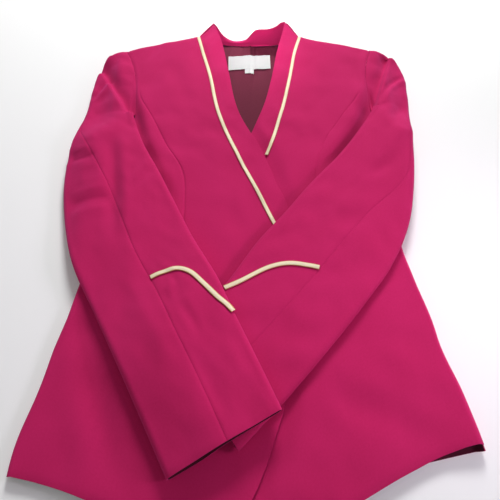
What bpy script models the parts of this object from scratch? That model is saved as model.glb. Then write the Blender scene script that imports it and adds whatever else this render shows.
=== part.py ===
"""Collarless uniform blazer, laid flat with both sleeves folded across its front.

Lengths are metres and +Z is up. The back lies on the surface, the hem points to -Y and the neck
to +Y. Left and right are the wearer's, so the right side is at -X. Tables are in centimetres.
"""

import math
from collections import namedtuple

import bpy
from mathutils import Vector
from mathutils.bvhtree import BVHTree

CM = 0.01
MM = 0.001

# The origin of the finished part, at the middle of the laid-out garment.
MIDDLE_X = -0.62 * CM
MIDDLE_Y = 4.6 * CM

# Cloth thicknesses, and the small gaps that keep the pieces apart.
CLOTH = 1.5 * MM
LINING = 1.2 * MM
TRIM = 1.0 * MM
LABEL = 1.0 * MM
SEAM = 0.15 * MM
LAY = 0.3 * MM
REST = 1.7 * MM

TRIM_WIDTH = 6.0 * MM
SHOULDER_ROLL = 11.0 * MM
SHOULDER_TURN = math.radians(-80)
UNDERLAP = 3.6 * MM
UNDERLAP_REACH = 2.2 * CM
SIDE_REACH = 5.0 * CM
CHEST_START = 11.0 * CM
CHEST_RISE = 5.0 * CM
# Shares of a side's length over which a row turns to meet the hem or the shoulder.
HEM_SHARE = 0.3
SHOULDER_SHARE = 0.2
BACK_TOP_SHARE = 0.25
BACK_HEM_DROP = 0.6 * CM
DART_DEPTH = 0.7 * MM
DART_HALF = 2.0 * MM

Height = namedtuple("Height", "y x0 x4 x8 x14 x20")
HEIGHT_AT = (0.0, 4.0, 8.0, 14.0, 20.0)
# Height of the front above the surface, in millimetres, by place on the body.
HEIGHTS = (
    Height(-32, 10.0, 10.0, 10.0, 9.5, 9.0),
    Height(-20, 10.5, 11.0, 11.0, 10.5, 9.5),
    Height(-10, 11.5, 12.0, 12.0, 11.5, 10.0),
    Height(0, 12.5, 13.0, 13.0, 12.5, 10.5),
    Height(10, 16.0, 17.0, 16.5, 15.5, 12.5),
    Height(18, 20.0, 21.0, 19.5, 19.0, 17.0),
    Height(26, 25.0, 24.5, 22.0, 23.0, 21.0),
    Height(34, 32.0, 31.5, 24.0, 23.0, 22.0),
    Height(40, 44.0, 42.5, 26.0, 23.5, 22.0),
)

Side = namedtuple("Side", "y right_x left_x right_roll left_roll")
# Side of the body and the radius that it rolls through, in millimetres.
SIDES = (
    Side(-27.0, -23.8, 24.0, 4.5, 7.5),
    Side(-22.8, -23.6, 23.4, 4.5, 7.5),
    Side(-17.4, -22.4, 22.4, 4.6, 6.4),
    Side(-13.0, -21.7, 21.2, 4.7, 5.4),
    Side(-9.4, -20.9, 20.7, 4.8, 5.0),
    Side(-5.0, -20.2, 19.7, 5.0, 5.0),
    Side(1.0, -19.3, 18.7, 5.2, 5.2),
    Side(8.0, -19.5, 19.2, 5.8, 5.8),
    Side(13.0, -20.2, 20.0, 7.0, 7.0),
    Side(17.0, -20.8, 20.5, 8.2, 8.2),
)
UNDERARM_Y = {"right": 16.0 * CM, "left": 17.0 * CM}

Place = namedtuple("Place", "x y")
# Armhole from the underarm to the shoulder.
ARMHOLES = {
    "right": (
        Place(-20.65, 16.0),
        Place(-18.6, 17.3),
        Place(-17.1, 19.2),
        Place(-16.6, 21.4),
        Place(-16.8, 25.6),
        Place(-17.3, 29.3),
        Place(-18.2, 32.3),
        Place(-19.0, 34.1),
    ),
    "left": (
        Place(20.5, 17.0),
        Place(19.2, 18.4),
        Place(18.1, 20.3),
        Place(17.7, 22.6),
        Place(17.4, 26.0),
        Place(17.4, 29.2),
        Place(17.9, 32.2),
        Place(18.6, 34.3),
    ),
}
# Outer line of the shoulder, from the armhole to the neck.
SHOULDERS = {
    "right": (Place(-19.0, 35.3), Place(-14.3, 36.8), Place(-10.6, 37.8), Place(-8.3, 38.4)),
    "left": (Place(18.6, 35.5), Place(14.3, 36.7), Place(10.6, 37.5), Place(7.9, 38.4)),
}
# Front hem, from the side to the start of the round corner.
HEMS = {
    "right": (
        Place(-23.75, -25.8),
        Place(-20.0, -26.6),
        Place(-15.7, -27.9),
        Place(-10.0, -29.8),
        Place(-5.5, -30.7),
    ),
    "left": (
        Place(23.4, -22.8),
        Place(20.4, -23.6),
        Place(16.2, -25.3),
        Place(10.9, -27.9),
        Place(5.5, -30.7),
    ),
}
BACK_HEM = (
    Place(-23.75, -25.8),
    Place(-12.0, -26.6),
    Place(0.0, -26.6),
    Place(12.0, -25.7),
    Place(18.1, -24.5),
    Place(23.4, -23.4),
)
# Front edge of each side, from the round corner at the hem to the top of the neck band.
EDGES = {
    "right": (
        Place(-5.5, -30.7),
        Place(-3.0, -30.3),
        Place(-1.0, -29.3),
        Place(0.2, -27.9),
        Place(1.5, -25.2),
        Place(2.6, -22.2),
        Place(3.6, -19.1),
        Place(4.9, -12.0),
        Place(5.4, -5.0),
        Place(5.4, 0.0),
        Place(4.8, 5.5),
        Place(3.6, 8.8),
        Place(1.6, 14.6),
        Place(0.0, 17.9),
        Place(-1.9, 22.4),
        Place(-3.1, 28.7),
        Place(-4.2, 34.6),
        Place(-5.7, 39.3),
    ),
    "left": (
        Place(5.5, -30.7),
        Place(3.0, -30.3),
        Place(1.0, -29.3),
        Place(-0.2, -27.9),
        Place(-1.5, -25.2),
        Place(-2.6, -22.2),
        Place(-3.6, -19.1),
        Place(-4.9, -12.0),
        Place(-5.4, -5.0),
        Place(-5.4, 0.0),
        Place(-4.8, 5.5),
        Place(-3.6, 8.8),
        Place(-1.6, 14.6),
        Place(0.2, 18.0),
        Place(2.0, 22.8),
        Place(3.2, 28.0),
        Place(4.1, 33.2),
        Place(5.6, 39.5),
    ),
}
# Seam between the front and its neck band, from the front edge up to the neck.
BAND_SEAMS = {
    "right": (
        Place(5.4, -2.0),
        Place(4.6, 0.2),
        Place(3.1, 2.9),
        Place(1.1, 7.7),
        Place(-2.1, 14.8),
        Place(-4.5, 21.4),
        Place(-5.9, 28.4),
        Place(-7.3, 34.0),
        Place(-8.1, 37.35),
    ),
    "left": (
        Place(-5.4, -2.0),
        Place(-4.6, 0.2),
        Place(-3.1, 2.9),
        Place(-1.1, 7.7),
        Place(2.4, 14.4),
        Place(4.4, 21.2),
        Place(5.7, 27.2),
        Place(6.8, 33.4),
        Place(7.8, 37.35),
    ),
}
BAND_END_Y = -2.0 * CM

# Curved dart from the armhole to the waist, run on to the hem and shoulder as a guide line.
DARTS = {
    "right": (
        Place(-10.5, -29.6),
        Place(-9.2, -14.0),
        Place(-8.5, 0.0),
        Place(-8.4, 6.0),
        Place(-9.0, 11.2),
        Place(-11.5, 15.7),
        Place(-13.9, 20.7),
        Place(-16.1, 24.9),
        Place(-16.0, 29.5),
        Place(-14.6, 36.0),
    ),
    "left": (
        Place(10.5, -28.1),
        Place(9.2, -14.0),
        Place(8.6, 0.0),
        Place(8.5, 6.0),
        Place(8.8, 11.2),
        Place(10.3, 16.3),
        Place(12.9, 20.6),
        Place(16.4, 26.2),
        Place(15.8, 30.5),
        Place(14.4, 36.0),
    ),
}
DART_Y = (-1.0 * CM, 25.5 * CM)

Ring = namedtuple("Ring", "inner_x inner_y outer_x outer_y puff_in puff_mid puff_out seam")
# Sections of each sleeve from the shoulder to the cuff. Puffs are millimetres above what the
# section lies on, and seam is where the back seam crosses it.
SLEEVES = {
    "right": (
        Ring(-19.08, 34.1, -19.12, 35.25, 0.0, 0.0, 0.5, 1.6),
        Ring(-18.25, 32.3, -22.1, 33.5, 0.0, 6.0, 12.0, 1.5),
        Ring(-17.35, 29.3, -23.3, 30.2, 0.0, 11.0, 15.0, 1.4),
        Ring(-16.85, 25.6, -23.75, 26.2, 0.0, 12.0, 15.0, 1.3),
        Ring(-16.65, 21.4, -23.9, 22.3, 2.3, 12.0, 14.0, 1.2),
        Ring(-14.7, 15.8, -24.9, 15.8, 7.5, 11.0, 12.0, 0.76),
        Ring(-12.0, 10.7, -24.7, 9.3, 8.5, 11.0, 11.0, 0.56),
        Ring(-9.45, 5.6, -23.3, 2.8, 8.5, 11.0, 10.0, 0.50),
        Ring(-6.9, 0.5, -20.9, -3.4, 8.5, 11.0, 9.5, 0.49),
        Ring(-4.1, -4.5, -17.6, -9.1, 8.5, 11.0, 9.0, 0.485),
        Ring(-1.7, -9.7, -14.3, -14.8, 9.0, 11.5, 9.5, 0.485),
        Ring(0.8, -14.9, -11.1, -20.5, 9.5, 12.5, 10.0, 0.48),
        Ring(3.2, -20.0, -7.9, -26.3, 10.0, 13.0, 10.5, 0.485),
    ),
    "left": (
        Ring(18.68, 34.3, 18.72, 35.45, 0.0, 0.0, 0.5, 1.6),
        Ring(17.95, 32.2, 22.3, 33.4, 0.0, 6.0, 12.0, 1.5),
        Ring(17.45, 29.2, 23.6, 30.1, 0.0, 11.0, 15.0, 1.4),
        Ring(17.45, 26.0, 23.55, 26.7, 0.0, 12.0, 15.0, 1.3),
        Ring(17.75, 22.6, 23.35, 23.5, 2.3, 12.0, 14.0, 1.2),
        Ring(15.0, 17.7, 22.45, 16.8, 7.5, 11.0, 12.0, 1.05),
        Ring(11.7, 13.1, 21.6, 9.9, 8.5, 10.5, 11.0, 0.90),
        Ring(8.0, 8.9, 19.9, 3.0, 8.5, 10.5, 9.5, 0.65),
        Ring(4.5, 4.4, 16.9, -3.0, 8.5, 10.5, 9.0, 0.565),
        Ring(1.0, 0.2, 12.8, -8.4, 8.5, 10.5, 9.0, 0.56),
        Ring(-2.2, -4.7, 8.3, -13.7, 8.5, 10.5, 9.0, 0.53),
        Ring(-5.4, -9.3, 3.7, -18.8, 8.0, 10.0, 8.5, 0.51),
        Ring(-8.7, -13.9, -1.1, -23.7, 7.5, 9.5, 8.0, 0.50),
    ),
}
FOLD_RING = 4
UNDERARM_RING = 5
RING_STEPS = (0, 0.5, 1, 2, 3, 4, 4.5, 5, 5.6, 6.2, 6.9, 7.6, 8.3, 8.8, 9.2, 9.6, 10, 10.4, 11.2, 12)
ARMHOLE_STEPS = (1, 2, 3, 4, 5, 6, 6.5, 7)
SLEEVE_STACK = 12.7 * MM
NEAR_FALL = 2.5 * CM
NEAR_FLAT = 1.0 * CM
WIDE_FALL = 6.0 * CM
CROSS_FALL = 3.0 * CM
CROSS_FLAT = 0.7 * CM
INSEAM_IN = 0.12
ROLL_DEPTH = 5.5 * MM

CuffTrim = namedtuple("CuffTrim", "ring across")
# Line of the cuff trim over each top sleeve, from the back seam to the inner fold.
CUFF_TRIMS = {
    "right": (
        CuffTrim(8.72, 0.477),
        CuffTrim(8.70, 0.39),
        CuffTrim(8.72, 0.26),
        CuffTrim(8.90, 0.18),
        CuffTrim(9.26, 0.125),
        CuffTrim(9.60, 0.075),
        CuffTrim(9.82, 0.032),
    ),
    "left": (
        CuffTrim(8.85, 0.55),
        CuffTrim(8.93, 0.47),
        CuffTrim(9.08, 0.35),
        CuffTrim(9.28, 0.26),
        CuffTrim(9.52, 0.19),
        CuffTrim(9.88, 0.115),
        CuffTrim(10.17, 0.052),
    ),
}

BandRib = namedtuple("BandRib", "base_x base_y base_z crest_x crest_y crest_z tip_x tip_y tip_z")
# Standing back neck band, from the right shoulder round the neck to the left shoulder.
BACK_BAND = (
    BandRib(-7.95, 37.7, 2.30, -6.9, 38.6, 2.85, -5.7, 39.55, 3.45),
    BandRib(-7.75, 38.6, 1.25, -6.5, 39.1, 2.05, -5.2, 39.45, 2.80),
    BandRib(-5.9, 38.9, 0.40, -5.0, 38.95, 1.25, -4.4, 39.1, 1.95),
    BandRib(-3.5, 38.6, 0.20, -3.3, 38.5, 1.05, -3.2, 39.0, 1.40),
    BandRib(-1.9, 38.45, 0.20, -1.9, 38.3, 1.10, -1.9, 39.2, 1.10),
    BandRib(-0.5, 38.4, 0.20, -0.5, 38.25, 1.30, -0.5, 38.8, 1.90),
    BandRib(1.0, 38.4, 0.20, 1.0, 38.2, 1.80, 1.0, 38.4, 3.15),
    BandRib(2.8, 38.5, 0.20, 2.8, 38.3, 1.95, 2.8, 38.5, 3.50),
    BandRib(4.6, 38.8, 0.25, 4.4, 38.75, 2.00, 4.2, 38.9, 3.60),
    BandRib(6.3, 38.9, 0.45, 5.7, 39.2, 2.00, 4.9, 39.45, 3.60),
    BandRib(7.5, 38.6, 1.25, 6.6, 39.25, 2.50, 5.3, 39.75, 3.60),
    BandRib(7.6, 37.7, 2.30, 6.6, 38.75, 2.90, 5.6, 39.8, 3.45),
)

LABEL_SIZE = (6.6 * CM, 3.1 * CM)
LABEL_AT = (-0.1 * CM, 34.0 * CM)
TAB_SIZE = (1.4 * CM, 1.1 * CM)

Colour = namedtuple("Colour", "red green blue rough")
MAGENTA = Colour(0.46, 0.020, 0.105, 0.85)
PLUM = Colour(0.17, 0.032, 0.070, 0.55)
CREAM = Colour(0.86, 0.74, 0.54, 0.60)
WHITE = Colour(0.82, 0.82, 0.80, 0.75)


def smooth(x):
    x = min(max(x, 0.0), 1.0)
    return x * x * (3.0 - 2.0 * x)


def blend4(a, b, c, d, t):
    """Catmull-Rom between b and c."""
    return b + 0.5 * t * (c - a + t * (2 * a - 5 * b + 4 * c - d + t * (3 * (b - c) + d - a)))


def through(values, at):
    """Smooth value at a fractional index of a row of numbers."""
    last = len(values) - 1
    at = min(max(at, 0.0), float(last))
    i = min(int(at), last - 1)
    a = values[i - 1] if i > 0 else 2 * values[0] - values[1]
    d = values[i + 2] if i + 2 <= last else 2 * values[last] - values[last - 1]
    return blend4(a, values[i], values[i + 1], d, at - i)


def index_of(stops, x):
    """Fractional index of x among rising stops."""
    if x <= stops[0]:
        return 0.0
    for i in range(len(stops) - 1):
        if x <= stops[i + 1]:
            return i + (x - stops[i]) / (stops[i + 1] - stops[i])
    return float(len(stops) - 1)


def column(rows, name):
    return [getattr(row, name) for row in rows]


def curve_point(rows, share):
    """Point at a share of the length of a smooth line through the rows, in metres."""
    xs, ys = column(rows, "x"), column(rows, "y")
    run = [0.0]
    for i in range(1, len(rows)):
        run.append(run[-1] + math.hypot(xs[i] - xs[i - 1], ys[i] - ys[i - 1]))
    at = index_of(run, min(max(share, 0.0), 1.0) * run[-1])
    return through(xs, at) * CM, through(ys, at) * CM


def across_at(rows, x):
    """y of a line that runs along X."""
    rows = sorted(rows, key=lambda row: row.x)
    return through(column(rows, "y"), index_of(column(rows, "x"), x / CM)) * CM


def along_at(rows, y):
    """x of a line that runs along Y."""
    rows = sorted(rows, key=lambda row: row.y)
    return through(column(rows, "x"), index_of(column(rows, "y"), y / CM)) * CM


def side_x(side, y):
    return through(column(SIDES, side + "_x"), index_of(column(SIDES, "y"), y / CM)) * CM


def side_roll(side, y):
    return through(column(SIDES, side + "_roll"), index_of(column(SIDES, "y"), y / CM)) * MM


def crown(x, y):
    """Height from the table alone."""
    at = index_of(column(HEIGHTS, "y"), y / CM)
    across = [through(column(HEIGHTS, name), at) for name in Height._fields[1:]]
    return through(across, index_of(HEIGHT_AT, abs(x) / CM)) * MM


def front_height(x, y):
    """Height of the front's outer face, which comes down to the rolled sides."""
    side = "right" if x < 0 else "left"
    high = crown(x, y)
    edge = 2 * side_roll(side, y)
    inside = abs(side_x(side, y)) - abs(x)
    share = max(smooth(inside / SIDE_REACH), smooth((y - CHEST_START) / CHEST_RISE))
    return edge + (high - edge) * share


def left_front_height(x, y):
    """The left front dips under the right one where they overlap."""
    beyond = x - along_at(EDGES["right"], y)
    return front_height(x, y) - UNDERLAP * smooth(1.05 - beyond / UNDERLAP_REACH)


def slope_normal(height, x, y):
    step = 1.0 * MM
    dx = (height(x + step, y) - height(x - step, y)) / (2 * step)
    dy = (height(x, y + step) - height(x, y - step)) / (2 * step)
    return Vector((-dx, -dy, 1.0)).normalized()


def on_height(height, x, y):
    """Point and normal on an upward facing surface."""
    return Vector((x, y, height(x, y))), slope_normal(height, x, y)


def armhole_point(side, at):
    """Point of the armhole at an index of its table, 0 at the underarm."""
    rows = ARMHOLES[side]
    return through(column(rows, "x"), at) * CM, through(column(rows, "y"), at) * CM


def outline_of(side):
    """Plan line of one side of the body from the hem to the neck."""
    low = HEMS[side][0].y * CM
    high = UNDERARM_Y[side]
    ys = [low + (high - low) * i / 14 for i in range(1, 15)]
    points = [(row.x * CM, row.y * CM) for row in reversed(HEMS[side])]
    points += [(side_x(side, y), y) for y in ys]
    points += [armhole_point(side, at) for at in ARMHOLE_STEPS]
    points += [(row.x * CM, row.y * CM) for row in SHOULDERS[side]]
    return points


def distance_outside(outline, x, y):
    """Distance from a closed plan outline, negative inside it."""
    near, odd = 1.0e9, False
    for (ax, ay), (bx, by) in zip(outline, outline[1:] + outline[:1]):
        ex, ey = bx - ax, by - ay
        along = ((x - ax) * ex + (y - ay) * ey) / max(ex * ex + ey * ey, 1e-12)
        along = min(max(along, 0.0), 1.0)
        near = min(near, math.hypot(ax + ex * along - x, ay + ey * along - y))
        if (ay > y) != (by > y) and x < ax + (y - ay) / (by - ay) * ex:
            odd = not odd
    return -near if odd else near


BODY_OUTLINE = outline_of("right") + outline_of("left")[::-1]


def make_material(name, colour):
    material = bpy.data.materials.new(name)
    material.use_nodes = True
    shader = material.node_tree.nodes["Principled BSDF"]
    shader.inputs["Base Color"].default_value = (colour.red, colour.green, colour.blue, 1.0)
    shader.inputs["Roughness"].default_value = colour.rough
    shader.inputs["Metallic"].default_value = 0.0
    material.diffuse_color = (colour.red, colour.green, colour.blue, 1.0)
    return material


def wall(name, colour, grid, thickness, lift=0.0):
    """Closed cloth wall whose outer face runs through a grid of (point, normal) pairs."""
    places, points, normals, pieces = {}, [], [], []

    def vertex(point, normal):
        key = tuple(round(value, 6) for value in point)
        if key not in places:
            places[key] = len(points)
            points.append(point.copy())
            normals.append(Vector((0.0, 0.0, 0.0)))
        normals[places[key]] += normal
        return places[key]

    rows = [[vertex(*pair) if pair else None for pair in row] for row in grid]
    for low, high in zip(rows, rows[1:]):
        for i in range(len(low) - 1):
            if None in (low[i], low[i + 1], high[i + 1], high[i]):
                continue
            face = []
            for corner in (low[i], low[i + 1], high[i + 1], high[i]):
                if corner not in face:
                    face.append(corner)
            if len(face) == 4:
                a, b, c, d = face
                if (points[a] - points[c]).length <= (points[b] - points[d]).length:
                    pieces += [[a, b, c], [a, c, d]]
                else:
                    pieces += [[a, b, d], [b, c, d]]
            elif len(face) == 3:
                pieces.append(face)
    facing = 0.0
    for face in pieces:
        a, b, c = (points[k] for k in face)
        facing += (b - a).cross(c - a).dot(normals[face[0]])
    if facing < 0:
        pieces = [face[::-1] for face in pieces]
    normals = [normal.normalized() for normal in normals]
    offset = Vector((MIDDLE_X, MIDDLE_Y, 0.0))
    count = len(points)
    outer = [point + normal * lift - offset for point, normal in zip(points, normals)]
    inner = [point - normal * thickness for point, normal in zip(outer, normals)]
    used = {}
    for face in pieces:
        for a, b in zip(face, face[1:] + face[:1]):
            used[(a, b)] = True
    faces = [tuple(face) for face in pieces]
    faces += [tuple(count + k for k in reversed(face)) for face in pieces]
    faces += [(b, a, count + a, count + b) for a, b in used if (b, a) not in used]
    mesh = bpy.data.meshes.new(name)
    mesh.from_pydata([tuple(point) for point in outer + inner], [], faces)
    mesh.validate()
    mesh.update()
    mesh.polygons.foreach_set("use_smooth", [True] * len(mesh.polygons))
    mesh.materials.append(make_material(name + "_cloth", colour))
    piece = bpy.data.objects.new(name, mesh)
    bpy.context.scene.collection.objects.link(piece)
    return piece


# Fronts: one piece each from side to front edge, with a long dart from the armhole.

SIDE_ROWS = 10
OUTER_STEPS = (0.0, 0.33, 0.67)
INNER_STEPS = (0.25, 0.5, 0.75, 1.0)
ROLL_ANGLES = (0, 22, 45, 67)
TURN_ANGLES = (60, 30, 0, -30, -60, -80)

Border = namedtuple("Border", "point roll share")


def sign_of(side):
    return -1.0 if side == "right" else 1.0


def mix(a, b, share):
    return a[0] + (b[0] - a[0]) * share, a[1] + (b[1] - a[1]) * share


def toward(point, target, distance):
    """Point moved in plan towards another one."""
    dx, dy = target[0] - point[0], target[1] - point[1]
    length = math.hypot(dx, dy) or 1.0
    return point[0] + dx / length * distance, point[1] + dy / length * distance


def outer_border(side, low):
    """Rows of the outer border: side seam up to the underarm, then the armhole."""
    high = UNDERARM_Y[side]
    rows, run = [], 0.0
    for i in range(SIDE_ROWS + 1):
        y = low + (high - low) * i / SIDE_ROWS
        rows.append(((side_x(side, y), y), side_roll(side, y)))
    for at in ARMHOLE_STEPS:
        x, y = armhole_point(side, at)
        rows.append(((x - sign_of(side) * SEAM, y), 0.0))
    runs = [0.0]
    for (a, _), (b, _) in zip(rows, rows[1:]):
        runs.append(runs[-1] + math.hypot(b[0] - a[0], b[1] - a[1]))
    return [Border(point, roll, run / runs[-1]) for (point, roll), run in zip(rows, runs)]


def inner_border(side):
    """Rows of the inner border: the front edge up to the band's end, then the band seam."""
    edge = [row for row in EDGES[side] if row.y * CM < BAND_END_Y - 0.5 * CM]
    return tuple(edge) + BAND_SEAMS[side]


def front_row(side, border):
    """Plan points of one row of a front, from the side to the front edge."""
    sign = sign_of(side)
    start = (border.point[0] - sign * border.roll, border.point[1])
    dart = curve_point(DARTS[side], border.share)
    inner = curve_point(inner_border(side), border.share)
    if inner[1] > BAND_END_Y:
        inner = toward(inner, dart, SEAM)
    plan = [mix(start, dart, share) for share in OUTER_STEPS]
    plan += [toward(dart, start, DART_HALF), dart, toward(dart, inner, DART_HALF)]
    return plan + [mix(dart, inner, share) for share in INNER_STEPS]


def shoulder_start(side, x):
    """y where the shoulder begins to roll over."""
    return across_at(SHOULDERS[side], x) - SHOULDER_ROLL


def front(side):
    height = front_height if side == "right" else left_front_height
    sign = sign_of(side)
    borders = outer_border(side, HEMS[side][0].y * CM)
    hem_row = front_row(side, borders[0])
    top_row = front_row(side, borders[-1])
    hem_shift = [across_at(HEMS[side], x) - y for x, y in hem_row]
    top_shift = [shoulder_start(side, x) - y for x, y in top_row]
    groove = len(OUTER_STEPS) + 1
    grid = []
    for border in borders:
        low = smooth(1.0 - border.share / HEM_SHARE)
        high = smooth(1.0 - (1.0 - border.share) / SHOULDER_SHARE)
        line = []
        for i, (x, y) in enumerate(front_row(side, border)):
            y += low * hem_shift[i] + high * top_shift[i]
            point, normal = on_height(height, x, y)
            if i == groove and DART_Y[0] < y < DART_Y[1]:
                point = point - normal * DART_DEPTH
            line.append((point, normal))
        grid.append(roll_columns(side, border, line[0], 1.0) + line)
    top = grid[-1]
    for degrees in TURN_ANGLES:
        angle = math.radians(degrees)
        out, up = math.cos(angle), math.sin(angle)
        line = []
        for point, _ in top:
            rise = point.z - SHOULDER_ROLL if degrees > 0 else SHOULDER_ROLL
            moved = Vector((point.x, point.y + SHOULDER_ROLL * out, SHOULDER_ROLL + rise * up))
            line.append((moved, Vector((0.0, out, up))))
        grid.append(line)
    return wall("front_" + side, MAGENTA, grid, CLOTH)


def roll_columns(side, border, first, up):
    """Columns round the rolled side, from the side seam to the first flat column."""
    sign, roll = sign_of(side), border.roll
    if roll == 0.0:
        return [first] * len(ROLL_ANGLES)
    line = []
    for degrees in ROLL_ANGLES:
        angle = math.radians(degrees) + (SEAM / roll if degrees == 0 else 0.0)
        out, rise = math.cos(angle), math.sin(angle)
        x = border.point[0] - sign * roll * (1 - out)
        point = Vector((x, first[0].y, roll + up * roll * rise))
        line.append((point, Vector((sign * out, 0.0, up * rise))))
    return line


# Back: flat on the surface and rolled up at the sides to meet the fronts.

# Columns across the back, closest together at the corners of the neckline.
BACK_SHARES = (0.0, 0.14, 0.293, 0.338, 0.42, 0.505, 0.59, 0.665, 0.71, 0.86, 1.0)
NECKLINE = (
    Place(-8.0, 37.1),
    Place(-6.3, 38.4),
    Place(-4.0, 38.9),
    Place(4.0, 38.9),
    Place(6.1, 38.4),
    Place(7.6, 37.0),
)


def back_top(x):
    """Top edge of the back: shoulder seams and neckline."""
    if NECKLINE[0].x <= x / CM + 0.1 and x / CM - 0.1 <= NECKLINE[-1].x:
        return across_at(NECKLINE, x)
    side = "right" if x < 0 else "left"
    return shoulder_start(side, x) + SHOULDER_ROLL * math.cos(SHOULDER_TURN) - 6 * SEAM


def back():
    low = {side: HEMS[side][0].y * CM - BACK_HEM_DROP * (side == "left") for side in HEMS}
    right, left = outer_border("right", low["right"]), outer_border("left", low["left"])
    grid = []
    down = Vector((0.0, 0.0, -1.0))

    def flat_row(a, b):
        start, end = a.point[0] + a.roll, b.point[0] - b.roll
        return [mix((start, a.point[1]), (end, b.point[1]), share) for share in BACK_SHARES]

    hem_shift = [across_at(BACK_HEM, x) - y for x, y in flat_row(right[0], left[0])]
    top_shift = [back_top(x) - y for x, y in flat_row(right[-1], left[-1])]
    for a, b in zip(right, left):
        near = smooth(1.0 - a.share / HEM_SHARE)
        far = smooth(1.0 - (1.0 - a.share) / BACK_TOP_SHARE)
        line = []
        for i, (x, y) in enumerate(flat_row(a, b)):
            y += near * hem_shift[i] + far * top_shift[i]
            line.append((Vector((x, y, 0.0)), down))
        start = roll_columns("right", a, line[0], -1.0)
        end = roll_columns("left", b, line[-1], -1.0)
        grid.append(start + line + end[::-1])
    return wall("back", MAGENTA, grid, CLOTH)


def flat_sheet(name, colour, rows, top, thickness):
    """Flat wall through rows of plan points, with its upper face at a height."""
    up = Vector((0.0, 0.0, 1.0))
    grid = [[(Vector((x, y, top)), up) for x, y in row] for row in rows]
    return wall(name, colour, grid, thickness)


LINING_INSET = 1.4 * CM
LINING_HEM = 1.5 * CM
LINING_LOW = -24.5 * CM
LINING_HIGH = 34.0 * CM
LINING_HIGH_HALF = 16.0 * CM
LINING_TOP = 37.9 * CM
LINING_TOP_HALF = 5.2 * CM
LINING_ROWS = 11
LINING_COLUMNS = 6


def lining():
    """Inside of the back, seen through the neck and at the open hem."""
    top = CLOTH + LAY + LINING
    rows = []
    for i in range(LINING_ROWS):
        share = i / (LINING_ROWS - 1)
        y = LINING_LOW + (LINING_HIGH - LINING_LOW) * share
        ends = []
        for side in ("right", "left"):
            if y <= UNDERARM_Y[side]:
                x = side_x(side, y)
            else:
                x = along_at(ARMHOLES[side][3:], y)
            ends.append(x - sign_of(side) * LINING_INSET)
        rows.append([mix((ends[0], y), (ends[1], y), k / LINING_COLUMNS) for k in range(LINING_COLUMNS + 1)])
    low, high = rows[0], []
    rows[0] = [(x, max(y, across_at(BACK_HEM, x) + LINING_HEM)) for x, y in low]
    for x, _ in rows[-1]:
        high.append((x * LINING_TOP_HALF / LINING_HIGH_HALF, LINING_TOP))
    rows.append(high)
    return flat_sheet("back_lining", PLUM, rows, top, LINING)


# Neck bands: one along each front edge from its end at the closure up to the neck.

BAND_COLUMNS = 3


def band_rows(side):
    """Plan rows of a band, each from the band seam to the front edge."""
    seam, rows = inner_border(side), []
    edge = [row for row in EDGES[side] if row.y * CM > BAND_END_Y - 0.5 * CM]
    borders = outer_border(side, HEMS[side][0].y * CM)
    points = [(curve_point(seam, border.share), border.share) for border in borders]
    points = [(point, share) for point, share in points if point[1] > BAND_END_Y]
    first, last = points[0][0][1], points[-1][0][1]
    low = index_of([row.y * CM for row in edge], first)
    for point, share in points:
        at = (point[1] - first) / (last - first)
        along = low + (len(edge) - 1 - low) * at
        outer = through(column(edge, "x"), along) * CM, through(column(edge, "y"), along) * CM
        rows.append((point, outer))
    return rows


def neck_band(side):
    height = front_height if side == "right" else left_front_height
    grid = []
    for seam, edge in band_rows(side):
        seam = toward(seam, edge, SEAM)
        grid.append([on_height(height, *mix(seam, edge, k / BAND_COLUMNS)) for k in range(BAND_COLUMNS + 1)])
    return wall("neck_band_" + side, MAGENTA, grid, CLOTH)


def with_normals(points):
    """Pairs each point of a grid with the surface normal there."""
    sums = {}

    def key(point):
        return tuple(round(value, 6) for value in point)

    for low, high in zip(points, points[1:]):
        for i in range(len(low) - 1):
            corners = (low[i], low[i + 1], high[i], high[i + 1])
            if None in corners:
                continue
            normal = (low[i + 1] - low[i]).cross(high[i] - low[i])
            normal += (high[i] - high[i + 1]).cross(low[i + 1] - high[i + 1])
            for corner in corners:
                sums[key(corner)] = sums.get(key(corner), Vector((0.0, 0.0, 0.0))) + normal
    return [[point and (point, sums[key(point)].normalized()) for point in row] for row in points]


def back_band():
    """Stands round the back of the neck between the ends of the two front bands."""
    steps = [i * 0.5 for i in range(2 * len(BACK_BAND) - 1)]
    columns = {name: column(BACK_BAND, name) for name in BandRib._fields}
    points = []
    for height in (0.0, 0.25, 0.5, 0.75, 1.0):
        row = []
        for at in steps:
            places = {name: through(values, at) * CM for name, values in columns.items()}
            base = Vector((places["base_x"], places["base_y"], places["base_z"]))
            crest = Vector((places["crest_x"], places["crest_y"], places["crest_z"]))
            tip = Vector((places["tip_x"], places["tip_y"], places["tip_z"]))
            low, mid = (1 - height) * (1 - 2 * height), 4 * height * (1 - height)
            row.append(base * low + crest * mid + tip * (height * (2 * height - 1)))
        points.append(row)
    grid = with_normals(points)
    middle = grid[2][len(steps) // 2][1]
    if middle.y > 0:
        grid = [[(point, -normal) for point, normal in row] for row in grid]
    return wall("back_neck_band", MAGENTA, grid, CLOTH)


# Sleeves: flattened two-piece tubes from the armhole, folded across the front.

UPPER_STEPS = 4
OUTER_UPPER_STEPS = 3
LOWER_STEPS = 7
FOLD_ANGLES = (-90, -45, 0, 45)


def ring_value(side, name, at):
    if name in ("inner_x", "inner_y") and at < FOLD_RING:
        return armhole_point(side, len(ARMHOLES[side]) - 1 - at)["xy".index(name[-1])] / CM
    return through(column(SLEEVES[side], name), at)


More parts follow.
